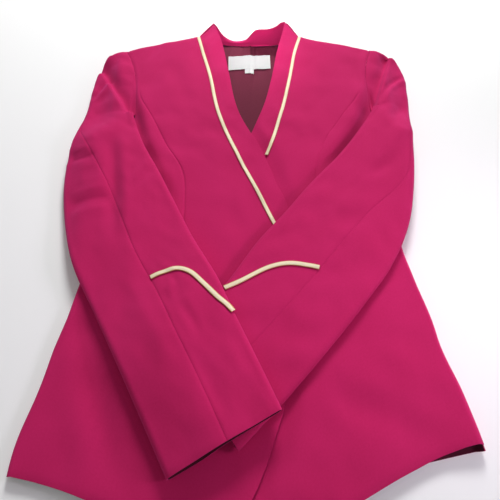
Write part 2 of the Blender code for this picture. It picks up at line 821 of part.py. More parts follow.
def ring_ends(side, at):
    """Inner and outer ends of a sleeve section in plan."""
    inner = (ring_value(side, "inner_x", at) * CM, ring_value(side, "inner_y", at) * CM)
    outer = (ring_value(side, "outer_x", at) * CM, ring_value(side, "outer_y", at) * CM)
    if at <= FOLD_RING:
        inner = toward(inner, outer, SEAM if at > 0 else 0.0)
        if at == 0:
            inner = (inner[0] + sign_of(side) * 0.8 * MM, inner[1])
    return inner, outer


def sleeve_outline(side):
    ends = [ring_ends(side, at * 0.5) for at in range(2 * len(SLEEVES[side]) - 1)]
    return [inner for inner, _ in ends] + [outer for _, outer in reversed(ends)]


UNDER_SLEEVE_OUTLINE = sleeve_outline("left")


def stack(side, x, y):
    """Extra height of the right sleeve where it crosses the left one."""
    if side == "left":
        return 0.0
    beyond = distance_outside(UNDER_SLEEVE_OUTLINE, x, y) - CROSS_FLAT
    return SLEEVE_STACK * smooth(1.0 - beyond / CROSS_FALL)


def ring_plan(side, at, share):
    inner, outer = ring_ends(side, at)
    return mix(inner, outer, share)


def fold_bottom(side, x, y):
    """Underside of the folded sleeve where it lies on the front."""
    return front_height(x, y) + REST + stack(side, x, y)


def lower_face(side, at, share):
    """Point on the underside of a sleeve section."""
    x, y = ring_plan(side, at, share)
    near = smooth(1.0 - (distance_outside(BODY_OUTLINE, x, y) - NEAR_FLAT) / NEAR_FALL)
    over = smooth((at - 3.2) / 1.8)
    return Vector((x, y, over * near * (front_height(x, y) + REST) + stack(side, x, y)))


def upper_face(side, at, share):
    """Point on the top of a sleeve section."""
    x, y = ring_plan(side, at, share)
    wide = smooth(1.0 - distance_outside(BODY_OUTLINE, x, y) / WIDE_FALL)
    over = smooth((at - FOLD_RING) / 1.0)
    puffs = [ring_value(side, name, at) for name in ("puff_in", "puff_mid", "puff_out")]
    a, b, c = puffs
    puff = a + (b - a) * smooth(share * 2) if share < 0.5 else b + (c - b) * smooth(share * 2 - 1)
    z = wide * (front_height(x, y) + REST * over) + stack(side, x, y) + puff * MM
    if at > FOLD_RING:
        z = max(z, fold_bottom(side, x, y) * wide + 4.5 * MM)
    return Vector((x, y, z))


def sleeve_ring(side, at):
    """One section of a sleeve: columns of the top sleeve, then of the under sleeve."""
    inner, outer = ring_ends(side, at)
    width = math.hypot(outer[0] - inner[0], outer[1] - inner[1])
    folded = at > FOLD_RING
    depth_in = min(ROLL_DEPTH, 0.3 * width) if folded else 0.0
    share_in = depth_in / width
    rim = upper_face(side, at, 0.9)
    depth_out = min(0.5 * rim.z, SHOULDER_ROLL, 0.95 * width) if at < 1 else min(ROLL_DEPTH * 1.3, 0.3 * width)
    share_out = 1.0 - depth_out / width
    start = upper_face(side, at, share_in)
    if folded:
        x, y = ring_plan(side, at, share_in + INSEAM_IN)
        columns = [Vector((x, y, fold_bottom(side, x, y)))]
        x, y = ring_plan(side, at, share_in)
        low = fold_bottom(side, x, y)
        for degrees in FOLD_ANGLES:
            angle = math.radians(degrees)
            x, y = ring_plan(side, at, share_in * (1 - math.cos(angle)))
            middle, half = (start.z + low) / 2, (start.z - low) / 2
            columns.append(Vector((x, y, middle + half * math.sin(angle))))
    else:
        hidden = 3
        columns = [None] * hidden + [start.copy() for _ in range(len(FOLD_ANGLES) + 1 - hidden)]
    seam = ring_value(side, "seam", at)
    face_seam = min(seam, share_out)
    turn = max(0.0, (seam - share_out) / (2.0 - share_out)) * math.pi
    for i in range(UPPER_STEPS + 1):
        columns.append(upper_face(side, at, share_in + (face_seam - share_in) * i / UPPER_STEPS))
    top = upper_face(side, at, share_out)
    low = lower_face(side, at, share_out)

    def outer_roll(angle):
        x, y = ring_plan(side, at, share_out + (1 - share_out) * math.sin(angle))
        middle, half = (top.z + low.z) / 2, (top.z - low.z) / 2
        return Vector((x, y, middle + half * math.cos(angle)))

    for i in (1, 2):
        columns.append(outer_roll(turn * i / 2) if turn else columns[-1].copy())
    split = len(columns) - 1
    for i in range(1, OUTER_UPPER_STEPS + 1):
        share = face_seam + (share_out - face_seam) * i / OUTER_UPPER_STEPS
        columns.append(columns[split].copy() if turn else upper_face(side, at, share))
    for i in range(1, 5):
        columns.append(outer_roll(turn + (math.pi - turn) * i / 4))
    end = lower_end(side, at, share_in, share_out)
    for i in range(1, LOWER_STEPS + 1):
        columns.append(lower_face(side, at, share_out + (end - share_out) * i / LOWER_STEPS))
    return columns, split


def lower_end(side, at, share_in, share_out):
    """Where the underside of a section stops: the armhole, or the seam near the inner fold."""
    if at <= FOLD_RING:
        return 0.0
    if at > UNDERARM_RING:
        inner, outer = ring_ends(side, at)
        width = math.hypot(outer[0] - inner[0], outer[1] - inner[1])
        return share_in + INSEAM_IN + 2.5 * SEAM / width
    low, high = 0.0, share_out
    for _ in range(24):
        middle = (low + high) / 2
        if distance_outside(BODY_OUTLINE, *ring_plan(side, at, middle)) > 1.0 * MM:
            high = middle
        else:
            low = middle
    return high


def shifted(line, seam_index, step):
    """Moves the seam end of a row of pairs back along the row by the seam allowance."""
    seam = line[seam_index][0]
    order = range(seam_index, -1 if step < 0 else len(line), step)
    away = next(line[i][0] for i in order if (line[i][0] - seam).length > 1e-6)
    move = (away - seam).normalized() * SEAM
    moved = []
    for pair in line:
        at_seam = pair and (pair[0] - seam).length <= 1e-6
        moved.append((pair[0] + move, pair[1]) if at_seam else pair)
    return moved


def sleeve(side):
    rings = [sleeve_ring(side, at) for at in RING_STEPS]
    split = rings[0][1]
    grid = with_normals([columns for columns, _ in rings])
    probe = grid[-1][split]
    if probe[1].z < 0:
        grid = [[pair and (pair[0], -pair[1]) for pair in row] for row in grid]
    top = [shifted(row[:split + 1], split, -1) for row in grid]
    under = [shifted(row[split:], 0, 1) for row in grid]
    return [
        wall("top_sleeve_" + side, MAGENTA, top, CLOTH),
        wall("under_sleeve_" + side, MAGENTA, under, CLOTH),
    ]


# Cream trims: flat braid over the band seams and across each sleeve above the cuff.

TRIM_LIFT = 0.5 * MM
NECK_TRIM_STEPS = 22
CUFF_TRIM_STEPS = 36
TRIM_COLUMNS = (-1.0, -0.6, -0.2, 0.2, 0.6, 1.0)
NECK_TRIM_START = {"right": 0.12, "left": 0.46}
NECK_TRIM_END = 0.985
TRIM_SIDE_STEPS = (0.0, 1.0, -1.0, 2.0, -2.0, 4.0, -4.0)


def tree_of(pieces):
    """Search tree over the faces of some pieces."""
    vertices, faces = [], []
    for piece in pieces:
        first = len(vertices)
        vertices += [vertex.co for vertex in piece.data.vertices]
        faces += [tuple(first + k for k in face.vertices) for face in piece.data.polygons]
    return BVHTree.FromPolygons(vertices, faces)


def drop_on(tree, x, y):
    """Top of the pieces at a place in plan, or beside it where that is in a seam."""
    down = Vector((0.0, 0.0, -1.0))
    for step in TRIM_SIDE_STEPS:
        start = Vector((x + step * SEAM - MIDDLE_X, y - MIDDLE_Y, 1.0))
        place, normal, _, _ = tree.ray_cast(start, down)
        if place and normal.z > 0.3:
            break
    return Vector((x, y, place.z)), normal


def trim_strip(name, line, pieces):
    """Flat trim along plan points, laid on the pieces under it."""
    grid, tree = [], tree_of(pieces)
    for i, (x, y) in enumerate(line):
        ax, ay = line[max(i - 1, 0)]
        bx, by = line[min(i + 1, len(line) - 1)]
        length = math.hypot(bx - ax, by - ay)
        px, py = -(by - ay) / length * TRIM_WIDTH / 2, (bx - ax) / length * TRIM_WIDTH / 2
        places = [drop_on(tree, x + px * k, y + py * k) for k in TRIM_COLUMNS]
        normal = sum((normal for _, normal in places), Vector((0.0, 0.0, 0.0))).normalized()
        grid.append([(place, normal) for place, _ in places])
    return wall(name, CREAM, grid, TRIM, TRIM + TRIM_LIFT)


def neck_trim(side, pieces):
    start = NECK_TRIM_START[side]
    shares = [start + (NECK_TRIM_END - start) * i / NECK_TRIM_STEPS for i in range(NECK_TRIM_STEPS + 1)]
    return trim_strip("neck_trim_" + side, [curve_point(BAND_SEAMS[side], k) for k in shares], pieces)


def cuff_trim(side, pieces):
    rows = CUFF_TRIMS[side]
    line = []
    for i in range(CUFF_TRIM_STEPS + 1):
        at = (len(rows) - 1) * i / CUFF_TRIM_STEPS
        ring, across = through(column(rows, "ring"), at), through(column(rows, "across"), at)
        line.append(ring_plan(side, ring, across))
    return trim_strip("cuff_trim_" + side, line, pieces)


# Label: a blank woven label with a small size tab below it, sewn to the lining.

def label():
    top = CLOTH + LAY + LINING + LAY + LABEL
    x, y = LABEL_AT
    w, h = LABEL_SIZE[0] / 2, LABEL_SIZE[1] / 2
    rows = [[(x - w, y - h), (x + w, y - h)], [(x - w, y + h), (x + w, y + h)]]
    flat_sheet("label", WHITE, rows, top, LABEL)
    w, low = TAB_SIZE[0] / 2, y - h - 2 * SEAM
    rows = [[(x - w, low - TAB_SIZE[1]), (x + w, low - TAB_SIZE[1])], [(x - w, low), (x + w, low)]]
    flat_sheet("size_tab", WHITE, rows, top, LABEL)


def build():
    for item in list(bpy.data.objects):
        bpy.data.objects.remove(item)
    back()
    lining()
    label()
    for side in ("right", "left"):
        panels = [front(side), neck_band(side)]
        neck_trim(side, panels)
        cuff_trim(side, sleeve(side))
    back_band()


build()
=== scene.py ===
"""Uniform blazer laid flat with both sleeves folded across its front: the visual model.

Lengths are metres and +Z is up. Left and right are the wearer's, so the right side is at -X, and
the hem points to -Y. Tables give places in plan in centimetres, and depths in millimetres.
"""

import math
from collections import namedtuple

import bpy
import numpy as np
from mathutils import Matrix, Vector
from mathutils.bvhtree import BVHTree


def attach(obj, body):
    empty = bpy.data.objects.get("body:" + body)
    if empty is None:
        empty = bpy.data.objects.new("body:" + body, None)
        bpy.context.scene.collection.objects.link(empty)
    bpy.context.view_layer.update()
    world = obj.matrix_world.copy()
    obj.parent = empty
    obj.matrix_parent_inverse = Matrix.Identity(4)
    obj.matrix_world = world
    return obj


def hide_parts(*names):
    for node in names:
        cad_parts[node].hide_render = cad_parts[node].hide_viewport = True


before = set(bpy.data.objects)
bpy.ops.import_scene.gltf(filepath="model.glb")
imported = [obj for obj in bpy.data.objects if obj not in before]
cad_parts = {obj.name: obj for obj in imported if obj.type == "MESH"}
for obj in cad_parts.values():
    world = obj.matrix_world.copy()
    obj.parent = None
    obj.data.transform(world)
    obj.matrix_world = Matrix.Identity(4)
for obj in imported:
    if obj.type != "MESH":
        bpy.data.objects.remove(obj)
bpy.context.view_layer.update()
CM = 0.01
MM = 0.001

# Camera: above the hem side, 60 degrees over the surface, looking at the middle of the chest.
MIDDLE = np.array([-0.62 * CM, 4.6 * CM, 0.0])
CAMERA_DISTANCE = 0.615
CAMERA_ELEVATION = math.radians(60)
SENSOR_WIDTH = 36.0
FOCAL_SHARE = 493 / 500


def put(name, data):
    made = bpy.data.objects.new(name, data)
    bpy.context.scene.collection.objects.link(made)
    return made


camera_data = bpy.data.cameras.new("camera")
camera_data.sensor_width = SENSOR_WIDTH
camera_data.lens = SENSOR_WIDTH * FOCAL_SHARE
camera = put("camera", camera_data)
back_off = np.array([0.0, -math.cos(CAMERA_ELEVATION), math.sin(CAMERA_ELEVATION)])
camera.location = back_off * CAMERA_DISTANCE - MIDDLE
camera.rotation_euler = (math.pi / 2 - CAMERA_ELEVATION, 0.0, 0.0)
bpy.context.scene.camera = camera
bpy.context.scene.view_settings.view_transform = "Standard"


# Back: one panel of fine wool suiting, cut from side seam to side seam. It lies flat on the
# surface and its sides roll up to meet the fronts.

CLOTH = 1.4 * MM
SEAM = 0.05 * MM
SHOULDER_ROLL = 11.0 * MM
SHOULDER_TURN = math.radians(-80)
SHOULDER_LAP = 1.0 * MM
HEM_SHARE = 0.3
BACK_TOP_SHARE = 0.25
BACK_HEM_DROP = 0.6 * CM
BACK_NEAR_SEAM = (0.0, 2 * MM, 5 * MM)
BORDER_STEPS = (46, 34)
BACK_COLUMNS = 60
ROLL_STEPS = 7
WELD = 5e-6
TINY = 1e-12
SOFT_EDGE_ANGLE = math.radians(60)
BUMP_STRENGTH = 0.35
# Weave: scales of its noises per metre, and how much its parts weigh.
FIBRE_SCALE, SLUB_SCALE, WOBBLE_SCALE, DYE_SCALE = 2600.0, 420.0, 240.0, 14.0
RIB_WOBBLE = 3.0
TWIST_RATE, TWIST_WEIGHT = 0.7, 0.35
WEAVE_HEIGHT, WEAVE_SHADE, DYE_SHADE = 0.5, 0.05, 0.9
# Inner faces: the lining's plum, darkened below the satin's own colour as painted shade.
LINING_IN_PAINTED_SHADE = (0.07, 0.008, 0.018)
BOTH = ("right", "left")


def table(kind, *rows):
    return tuple(kind(*row) for row in rows)


Place = namedtuple("Place", "x y")
Side = namedtuple("Side", "y right_x left_x right_roll left_roll")
# Side of the body and the radius that it rolls through, from the hem up.
SIDES = table(
    Side, (-27, -23.8, 24, 4.5, 7.5), (-22.8, -23.6, 23.4, 4.5, 7.5),
    (-17.4, -22.4, 22.4, 4.6, 6.4), (-13, -21.7, 21.2, 4.7, 5.4), (-9.4, -20.9, 20.7, 4.8, 5),
    (-5, -20.2, 19.7, 5, 5), (1, -19.3, 18.7, 5.2, 5.2), (8, -19.5, 19.2, 5.8, 5.8),
    (13, -20.2, 20, 7, 7), (17, -20.8, 20.5, 8.2, 8.2),
)
UNDERARM_Y = {"right": 16.0 * CM, "left": 17.0 * CM}
# Armhole from the underarm to the shoulder.
ARMHOLES = {
    "right": table(
        Place, (-20.65, 16), (-18.6, 17.3), (-17.1, 19.2), (-16.6, 21.4), (-16.8, 25.6),
        (-17.3, 29.3), (-18.2, 32.3), (-19, 34.1),
    ),
    "left": table(
        Place, (20.5, 17), (19.2, 18.4), (18.1, 20.3), (17.7, 22.6), (17.4, 26), (17.4, 29.2),
        (17.9, 32.2), (18.6, 34.3),
    ),
}
# Outer line of the shoulder, from the armhole to the neck.
SHOULDERS = {
    "right": table(
        Place, (-19, 35.3), (-14.3, 36.8), (-10.6, 37.8), (-8.3, 38.4),
    ),
    "left": table(
        Place, (18.6, 35.5), (14.3, 36.7), (10.6, 37.5), (7.9, 38.4),
    ),
}
# Front hem, from the side to the start of the round corner.
HEMS = {
    "right": table(
        Place, (-23.75, -25.8), (-20, -26.6), (-15.7, -27.9), (-10, -29.8), (-5.5, -30.7),
    ),
    "left": table(
        Place, (23.4, -22.8), (20.4, -23.6), (16.2, -25.3), (10.9, -27.9), (5.5, -30.7),
    ),
}
BACK_HEM = table(
    Place, (-23.75, -25.8), (-12, -26.6), (0, -26.6), (12, -25.7), (18.1, -24.5), (23.4, -23.4),
)
NECKLINE = table(
    Place, (-8, 37.1), (-6.3, 38.4), (-4, 38.9), (4, 38.9), (6.1, 38.4), (7.6, 37),
)


def join(*parts, axis=0):
    return np.concatenate(parts, axis)


def even(count):
    return np.linspace(0.0, 1.0, count)


def smooth(x):
    x = np.clip(x, 0.0, 1.0)
    return x * x * (3.0 - 2.0 * x)


def bell(x):
    return np.exp(-(x**2))


def through(values, at):
    """Smooth value at fractional indices of a row of numbers, or of rows of arrays."""
    v = np.asarray(values, float)
    last = len(v) - 1
    v = join([2 * v[0] - v[1]], v, [2 * v[-1] - v[-2]])
    at = np.clip(np.asarray(at, float), 0.0, last)
    i = np.minimum(at.astype(int), last - 1)
    t = at - i
    if v.ndim > 1:
        a, b, c, d = (np.take_along_axis(v, (i + k)[None], 0)[0] for k in range(4))
    else:
        a, b, c, d = v[i], v[i + 1], v[i + 2], v[i + 3]
    return b + 0.5 * t * (c - a + t * (2 * a - 5 * b + 4 * c - d + t * (3 * (b - c) + d - a)))


def index_of(stops, x):
    """Fractional index of x among rising stops."""
    return np.interp(x, stops, np.arange(len(stops)))


def column(rows, name):
    return [getattr(row, name) for row in rows]


def read(rows, names, at):
    """Smooth values of some columns of a table at fractional indices."""
    return np.stack([through(column(rows, name), at) for name in names], -1)


def look_up(rows, known, wanted, x):
    """Smooth value of one column of a table where another one passes x centimetres."""
    rows = sorted(rows, key=lambda row: getattr(row, known))
    return through(column(rows, wanted), index_of(column(rows, known), x / CM))


def run_along(line):
    """Length from the start of a plan line to each of its points."""
    return join([0.0], np.cumsum(np.hypot(*np.diff(line, axis=0).T)))


def curve_point(rows, share):
    """Places at shares of the length of a smooth line through the rows, in metres."""
    run = run_along([(row.x, row.y) for row in rows])
    return read(rows, "xy", index_of(run, np.clip(share, 0.0, 1.0) * run[-1])) * CM


def across_at(rows, x):
    """y of a line that runs along X."""
    return look_up(rows, "x", "y", x) * CM


def along_at(rows, y):
    """x of a line that runs along Y."""
    return look_up(rows, "y", "x", y) * CM


def side_x(side, y):
    return look_up(SIDES, "y", side + "_x", y) * CM


def side_roll(side, y):
    return look_up(SIDES, "y", side + "_roll", y) * MM


def armhole_point(side, at):
    """Places on the armhole at indices of its table, 0 at the underarm."""
    return read(ARMHOLES[side], "xy", at) * CM


def sign_of(side):
    return -1.0 if side == "right" else 1.0


def outer_border(side, low, steps=BORDER_STEPS):
    """Side seam up to the underarm, then the armhole.

    Gives its places, their roll radii, where the flat cloth starts and the shares of length.
    """
    y = np.linspace(low, UNDERARM_Y[side], steps[0] + 1)
    rolls = join(side_roll(side, y), np.zeros(steps[1]))
    at = np.linspace(0.0, len(ARMHOLES[side]) - 1.0, steps[1] + 1)[1:]
    hole = armhole_point(side, at) - np.array([sign_of(side) * SEAM, 0.0])
    places = join(np.stack([side_x(side, y), y], -1), hole)
    starts = places - np.stack([sign_of(side) * rolls, 0 * rolls], -1)
    run = run_along(places)
    return places, rolls, starts, run / run[-1]


def spread(a, b, near, count):
    """Rows of places from a to b, closest together at both ends."""
    length = np.linalg.norm(b - a, axis=-1, keepdims=True) + 1e-9
    near = np.minimum(np.array(near) / length, 0.45)
    middle = even(count + 2)[1:-1]
    first, last = near[:, -1:], 1.0 - near[:, -1:]
    shares = join(near, first + (last - first) * middle, 1.0 - near[:, ::-1], axis=1)
    return a[:, None] + (b - a)[:, None] * shares[..., None]


def fit_ends(plan, shares, top_share, hem_y, top_y, held=1.0):
    """Moves the rows near both ends of a plan grid to a hem line and a top line."""
    low = smooth(1.0 - shares / HEM_SHARE)[:, None]
    high = smooth(1.0 - (1.0 - shares) / top_share)[:, None]
    plan[..., 1] += low * (hem_y - plan[0, :, 1]) + high * ((top_y - plan[-1, :, 1]) * held)


def roll_columns(side, places, rolls, first):
    """Columns round a rolled side, from the side seam to the first flat column."""
    angle = np.linspace(0.0, math.pi / 2, ROLL_STEPS, endpoint=False)[None]
    roll = rolls[:, None]
    angle = np.maximum(angle, SEAM / np.maximum(roll, SEAM))
    x = places[:, :1] - sign_of(side) * roll * (1 - np.cos(angle))
    y = np.repeat(first[:, 1:2], ROLL_STEPS, 1)
    z = roll + (first[:, 2:3] - roll) * np.sin(angle)
    return np.where(roll[..., None] == 0.0, first[:, None], np.stack([x, y, z], -1))


def weld_keys(points):
    """One number for each different place of a grid of points, -1 where there is none."""
    flat = points.reshape(-1, 3)
    there = ~np.isnan(flat[:, 0])
    _, found = np.unique(np.round(flat[there] / WELD).astype(int), axis=0, return_inverse=True)
    keys = np.full(len(flat), -1)
    keys[there] = found.ravel()
    return keys.reshape(points.shape[:2])


def unit(vectors):
    return vectors / (np.linalg.norm(vectors, axis=-1, keepdims=True) + TINY)


def with_normals(points, where=(5, 5), way=(0, 0, 1)):
    """Normals of a grid; the one at an index of the grid looks along way."""
    keys = weld_keys(points)
    a, b, c, d = points[:-1, :-1], points[:-1, 1:], points[1:, 1:], points[1:, :-1]
    face = np.cross(c - a, d - b)
    total = np.zeros((keys.max() + 1, 3))
    good = ~np.isnan(face[..., 0])
    for corner in (keys[:-1, :-1], keys[:-1, 1:], keys[1:, 1:], keys[1:, :-1]):
        np.add.at(total, corner[good], face[good])
    normals = unit(total)[keys]
    return -normals if np.dot(normals[where], way) < 0 else normals


def wall(name, points, normals, thickness, material, soft=0.35):
    """Closed cloth wall whose outer face runs through a grid of points."""
    keys = weld_keys(points)
    count = keys.max() + 1
    there = keys >= 0
    outer, facing = np.zeros((2, count, 3))
    outer[keys[there]] = points[there]
    np.add.at(facing, keys[there], normals[there])
    facing = unit(facing)
    outer -= MIDDLE
    inner = outer - facing * thickness
    inner[:, 2] = np.maximum(inner[:, 2], 0.0)
    across, along = np.zeros((2, *keys.shape))
    across[:, 1:] = np.nan_to_num(np.linalg.norm(np.diff(points, axis=1), axis=-1)).cumsum(1)
    across -= across[:, keys.shape[1] // 2][:, None]
    along[1:] = np.nan_to_num(np.linalg.norm(np.diff(points, axis=0), axis=-1)).cumsum(0)
    faces = []
    for r, c in np.ndindex(keys.shape[0] - 1, keys.shape[1] - 1):
        face = {}
        for place in ((r, c), (r, c + 1), (r + 1, c + 1), (r + 1, c)):
            face.setdefault(int(keys[place]), place)
        if len(face) > 2 and min(face) >= 0:
            faces.append(list(face.items()))
    a, b, c = (outer[[face[i][0] for face in faces]] for i in range(3))
    if (np.cross(b - a, c - a) * facing[[face[0][0] for face in faces]]).sum() < 0:
        faces = [face[::-1] for face in faces]
    edges = {}
    for face in faces:
        for one, two in zip(face, face[1:] + face[:1]):
            edges[one[0], two[0]] = (one[1], two[1])
    rings = faces + [[(k + count, place) for k, place in reversed(face)] for face in faces]
    for (one, two), (p, q) in edges.items():
        if (two, one) not in edges:
            rings.append([(two, q), (one, p), (count + one, p), (count + two, q)])
    mesh = bpy.data.meshes.new(name)
    corners = [[k for k, _ in ring] for ring in rings]
    mesh.from_pydata(join(outer, inner).tolist(), [], corners)
    uv = [(across[place], along[place]) for ring in rings for _, place in ring]
    mesh.uv_layers.new(name="weave").data.foreach_set("uv", np.array(uv).ravel())
    inside = np.zeros(len(rings))
    inside[len(faces) : 2 * len(faces)] = 1.0
    mesh.attributes.new("inside", "FLOAT", "FACE").data.foreach_set("value", inside)
    mesh.shade_smooth()
    mesh.materials.append(material)
    piece = put(name, mesh)
    if soft:
        bevel = piece.modifiers.new("soft_edge", "BEVEL")
        bevel.width = soft * thickness
        bevel.segments = 2
        bevel.limit_method = "ANGLE"
        bevel.angle_limit = SOFT_EDGE_ANGLE
    return piece


def give(node, inputs):
    """Gives inputs of a node a value, an output, or the first output of another node."""
    for name, value in dict(inputs).items():
        if isinstance(value, bpy.types.Node):
            value = value.outputs[0]
        if isinstance(value, bpy.types.NodeSocket):
            node.id_data.links.new(value, node.inputs[name])
        else:
            node.inputs[name].default_value = value


def new_node(tree, kind, inputs=(), **settings):
    node = tree.nodes.new(kind)
    for name, value in settings.items():
        setattr(node, name, value)
    give(node, inputs)
    return node


def new_tree(name, kind, inputs, outputs):
    """Node group with named sockets: the tree, what it is given and its output node."""
    tree = bpy.data.node_groups.new(name, kind)
    for way, sockets in (("INPUT", inputs), ("OUTPUT", outputs)):
        for title, socket in sockets.items():
            tree.interface.new_socket(title, in_out=way, socket_type="NodeSocket" + socket)
    return tree, tree.nodes.new("NodeGroupInput").outputs, tree.nodes.new("NodeGroupOutput")


def mix(tree, factor, a, b):
    inputs = {"Factor": factor, "A": a, "B": b}
    return new_node(tree, "ShaderNodeMix", inputs, data_type="RGBA").outputs["Result"]


def twill_group():
    """Twill weave: slanting ribs of twisted thread, with slubs and broad uneven dye."""
    inputs = {"Vector": "Vector", "Ribs per Metre": "Float", "Slant": "Float", "Unevenness": "Float"}
    outputs = {"Shade": "Float", "Height": "Float"}
    group, given, out = new_tree("twill_weave", "ShaderNodeTree", inputs, outputs)

    def calc(operation, *values):
        return new_node(group, "ShaderNodeMath", enumerate(values), operation=operation)

    def noise(scale, detail):
        inputs = {"Vector": given["Vector"], "Scale": scale, "Detail": detail}
        return new_node(group, "ShaderNodeTexNoise", inputs)

    slant = {"Vector": given["Vector"], "Angle": given["Slant"]}
    turned = new_node(group, "ShaderNodeVectorRotate", slant, rotation_type="Z_AXIS")
    x, y, _ = new_node(group, "ShaderNodeSeparateXYZ", {"Vector": turned}).outputs
    phase = calc("MULTIPLY", calc("MULTIPLY", x, given["Ribs per Metre"]), math.tau)
    rib = calc("SINE", calc("ADD", phase, calc("MULTIPLY", noise(WOBBLE_SCALE, 2.0), RIB_WOBBLE)))
    twist = calc("MULTIPLY", calc("MULTIPLY", y, given["Ribs per Metre"]), math.tau * TWIST_RATE)
    weave = calc("ADD", rib, calc("MULTIPLY", calc("SINE", twist), TWIST_WEIGHT))
    height = calc("ADD", calc("MULTIPLY", weave, WEAVE_HEIGHT), noise(FIBRE_SCALE, 3.0))
    broad = calc("MULTIPLY", calc("SUBTRACT", noise(DYE_SCALE, 3.0), 0.5), DYE_SHADE)
    uneven = calc("ADD", broad, calc("SUBTRACT", noise(SLUB_SCALE, 4.0), 0.5))
    uneven = calc("MULTIPLY", uneven, given["Unevenness"])
    shade = calc("ADD", calc("ADD", uneven, calc("MULTIPLY", weave, WEAVE_SHADE)), 0.5)
    give(out, {"Shade": shade, "Height": height})
    return group


TWILL = twill_group()


def plain_material(name, look):
    material = bpy.data.materials.new(name)
    material.use_nodes = True
    give(material.node_tree.nodes["Principled BSDF"], look)
    return material


def woven(name, deep, pale, ribs, slant, uneven, relief, look):
    """Cloth material with the weave on the piece's own weave map."""
    material = plain_material(name, look)
    tree = material.node_tree
    uv = new_node(tree, "ShaderNodeUVMap", uv_map="weave")
    cloth = {"Vector": uv, "Ribs per Metre": ribs, "Slant": slant, "Unevenness": uneven}
    weave = new_node(tree, "ShaderNodeGroup", cloth, node_tree=TWILL)
    bump = {"Strength": BUMP_STRENGTH, "Distance": relief, "Height": weave.outputs["Height"]}
    colour = mix(tree, weave.outputs["Shade"], (*deep, 1.0), (*pale, 1.0))
    made = {"Base Color": colour, "Normal": new_node(tree, "ShaderNodeBump", bump)}
    give(tree.nodes["Principled BSDF"], made)
    return material


def tint_over(material, factor, colour):
    """Lays a second colour over a material's own where the factor says."""
    shader = material.node_tree.nodes["Principled BSDF"]
    own = shader.inputs["Base Color"].links[0].from_socket
    give(shader, {"Base Color": mix(material.node_tree, factor, own, (*colour, 1.0))})


SUITING = woven(
    "magenta_suiting",
    deep=(0.41, 0.009, 0.070), pale=(0.57, 0.019, 0.133),
    ribs=1900.0, slant=1.1, uneven=0.45, relief=0.12 * MM,
    look={
        "Roughness": 0.85, "Specular IOR Level": 0.06, "Sheen Weight": 0.16,
        "Sheen Roughness": 0.5, "Sheen Tint": (0.95, 0.30, 0.95, 1.0),
    },
)
# The inner faces of the walls are bagged out with lining, coloured darker than the plum satin itself:
# painted shade for the insides, which lie in shadow.
mark = new_node(SUITING.node_tree, "ShaderNodeAttribute", attribute_name="inside")
tint_over(SUITING, mark.outputs["Fac"], LINING_IN_PAINTED_SHADE)


def back_top(x):
    """Top edge of the back: shoulder seams and neckline."""
    drop = SHOULDER_ROLL * (1 - math.cos(SHOULDER_TURN)) + SHOULDER_LAP
    right, left = (across_at(SHOULDERS[side], x) - drop for side in BOTH)
    inside = (x / CM > NECKLINE[0].x - 0.1) & (x / CM < NECKLINE[-1].x + 0.1)
    return np.where(inside, across_at(NECKLINE, x), np.where(x < 0, right, left))


right = outer_border("right", HEMS["right"][0].y * CM)
left = outer_border("left", HEMS["left"][0].y * CM - BACK_HEM_DROP)
flat = spread(right[2], left[2], BACK_NEAR_SEAM, BACK_COLUMNS)
hem_y, top_y = across_at(BACK_HEM, flat[0, :, 0]), back_top(flat[-1, :, 0])
fit_ends(flat, right[3], BACK_TOP_SHARE, hem_y, top_y)
line = join(flat, np.zeros(flat.shape[:2] + (1,)), axis=-1)
right_roll = roll_columns("right", *right[:2], line[:, 0])
left_roll = roll_columns("left", *left[:2], line[:, -1])
grid = join(right_roll, line, left_roll[:, ::-1], axis=1)
normals = with_normals(grid, (20, 30), (0, 0, -1))
back = wall("back_panel", grid, normals, CLOTH, SUITING)
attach(back, "root")
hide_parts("back")


# Back lining: thin plum satin sewn into the back, with a pleat down its middle. It lies on the
# back and shows only inside the neck.

LINING_INSET = 1.4 * CM
LINING_LOW = -24.5 * CM
LINING_HIGH = 34.0 * CM
LINING_TOP = 37.9 * CM
LINING_TOP_NARROWING = 5.2 / 16.0
LINING_HEM = 1.5 * CM
LINING_FACE = 2.9 * MM
LINING_CLOTH = 0.8 * MM
PLEAT_X = 0.1 * CM
PLEAT_REACH = 9 * MM
PLEAT_DEPTH = 2.2
PLEAT_WIDTH = 3.6 * MM
PLEAT_EDGE = 0.8 * MM
LINING_FAN = 1.2
LINING_ROWS = 40
LINING_COLUMNS = 121
LINING_TOP_ROWS = 14

SATIN = woven(
    "plum_satin",
    deep=(0.085, 0.010, 0.024), pale=(0.185, 0.028, 0.058),
    ribs=2600.0, slant=0.5, uneven=0.30, relief=0.05 * MM,
    look={"Roughness": 0.75, "Specular IOR Level": 0.06},
)


def lining_height(x, y):
    """Soft folds that fan out from the neck, and the pleat."""
    top = smooth((y - 24 * CM) / (8 * CM))
    spread_x = (x - PLEAT_X) / (1.0 + LINING_FAN * smooth((38 * CM - y) / (12 * CM)))
    folds = 0.8 * np.sin(spread_x * 230.0 + 0.8 * np.sin(y * 60.0) + 1.9)
    folds += 0.5 * np.sin(spread_x * 510.0 + 2.0 + y * 25.0)
    side = x - PLEAT_X - 0.6 * MM
    pleat = PLEAT_DEPTH * bell(side / PLEAT_WIDTH)
    pleat -= PLEAT_DEPTH * smooth((side + PLEAT_EDGE) / (2 * PLEAT_EDGE))
    pleat *= smooth((PLEAT_REACH - np.abs(side)) / (5 * MM))
    return LINING_FACE + top * (0.9 + 0.8 * folds + pleat) * MM


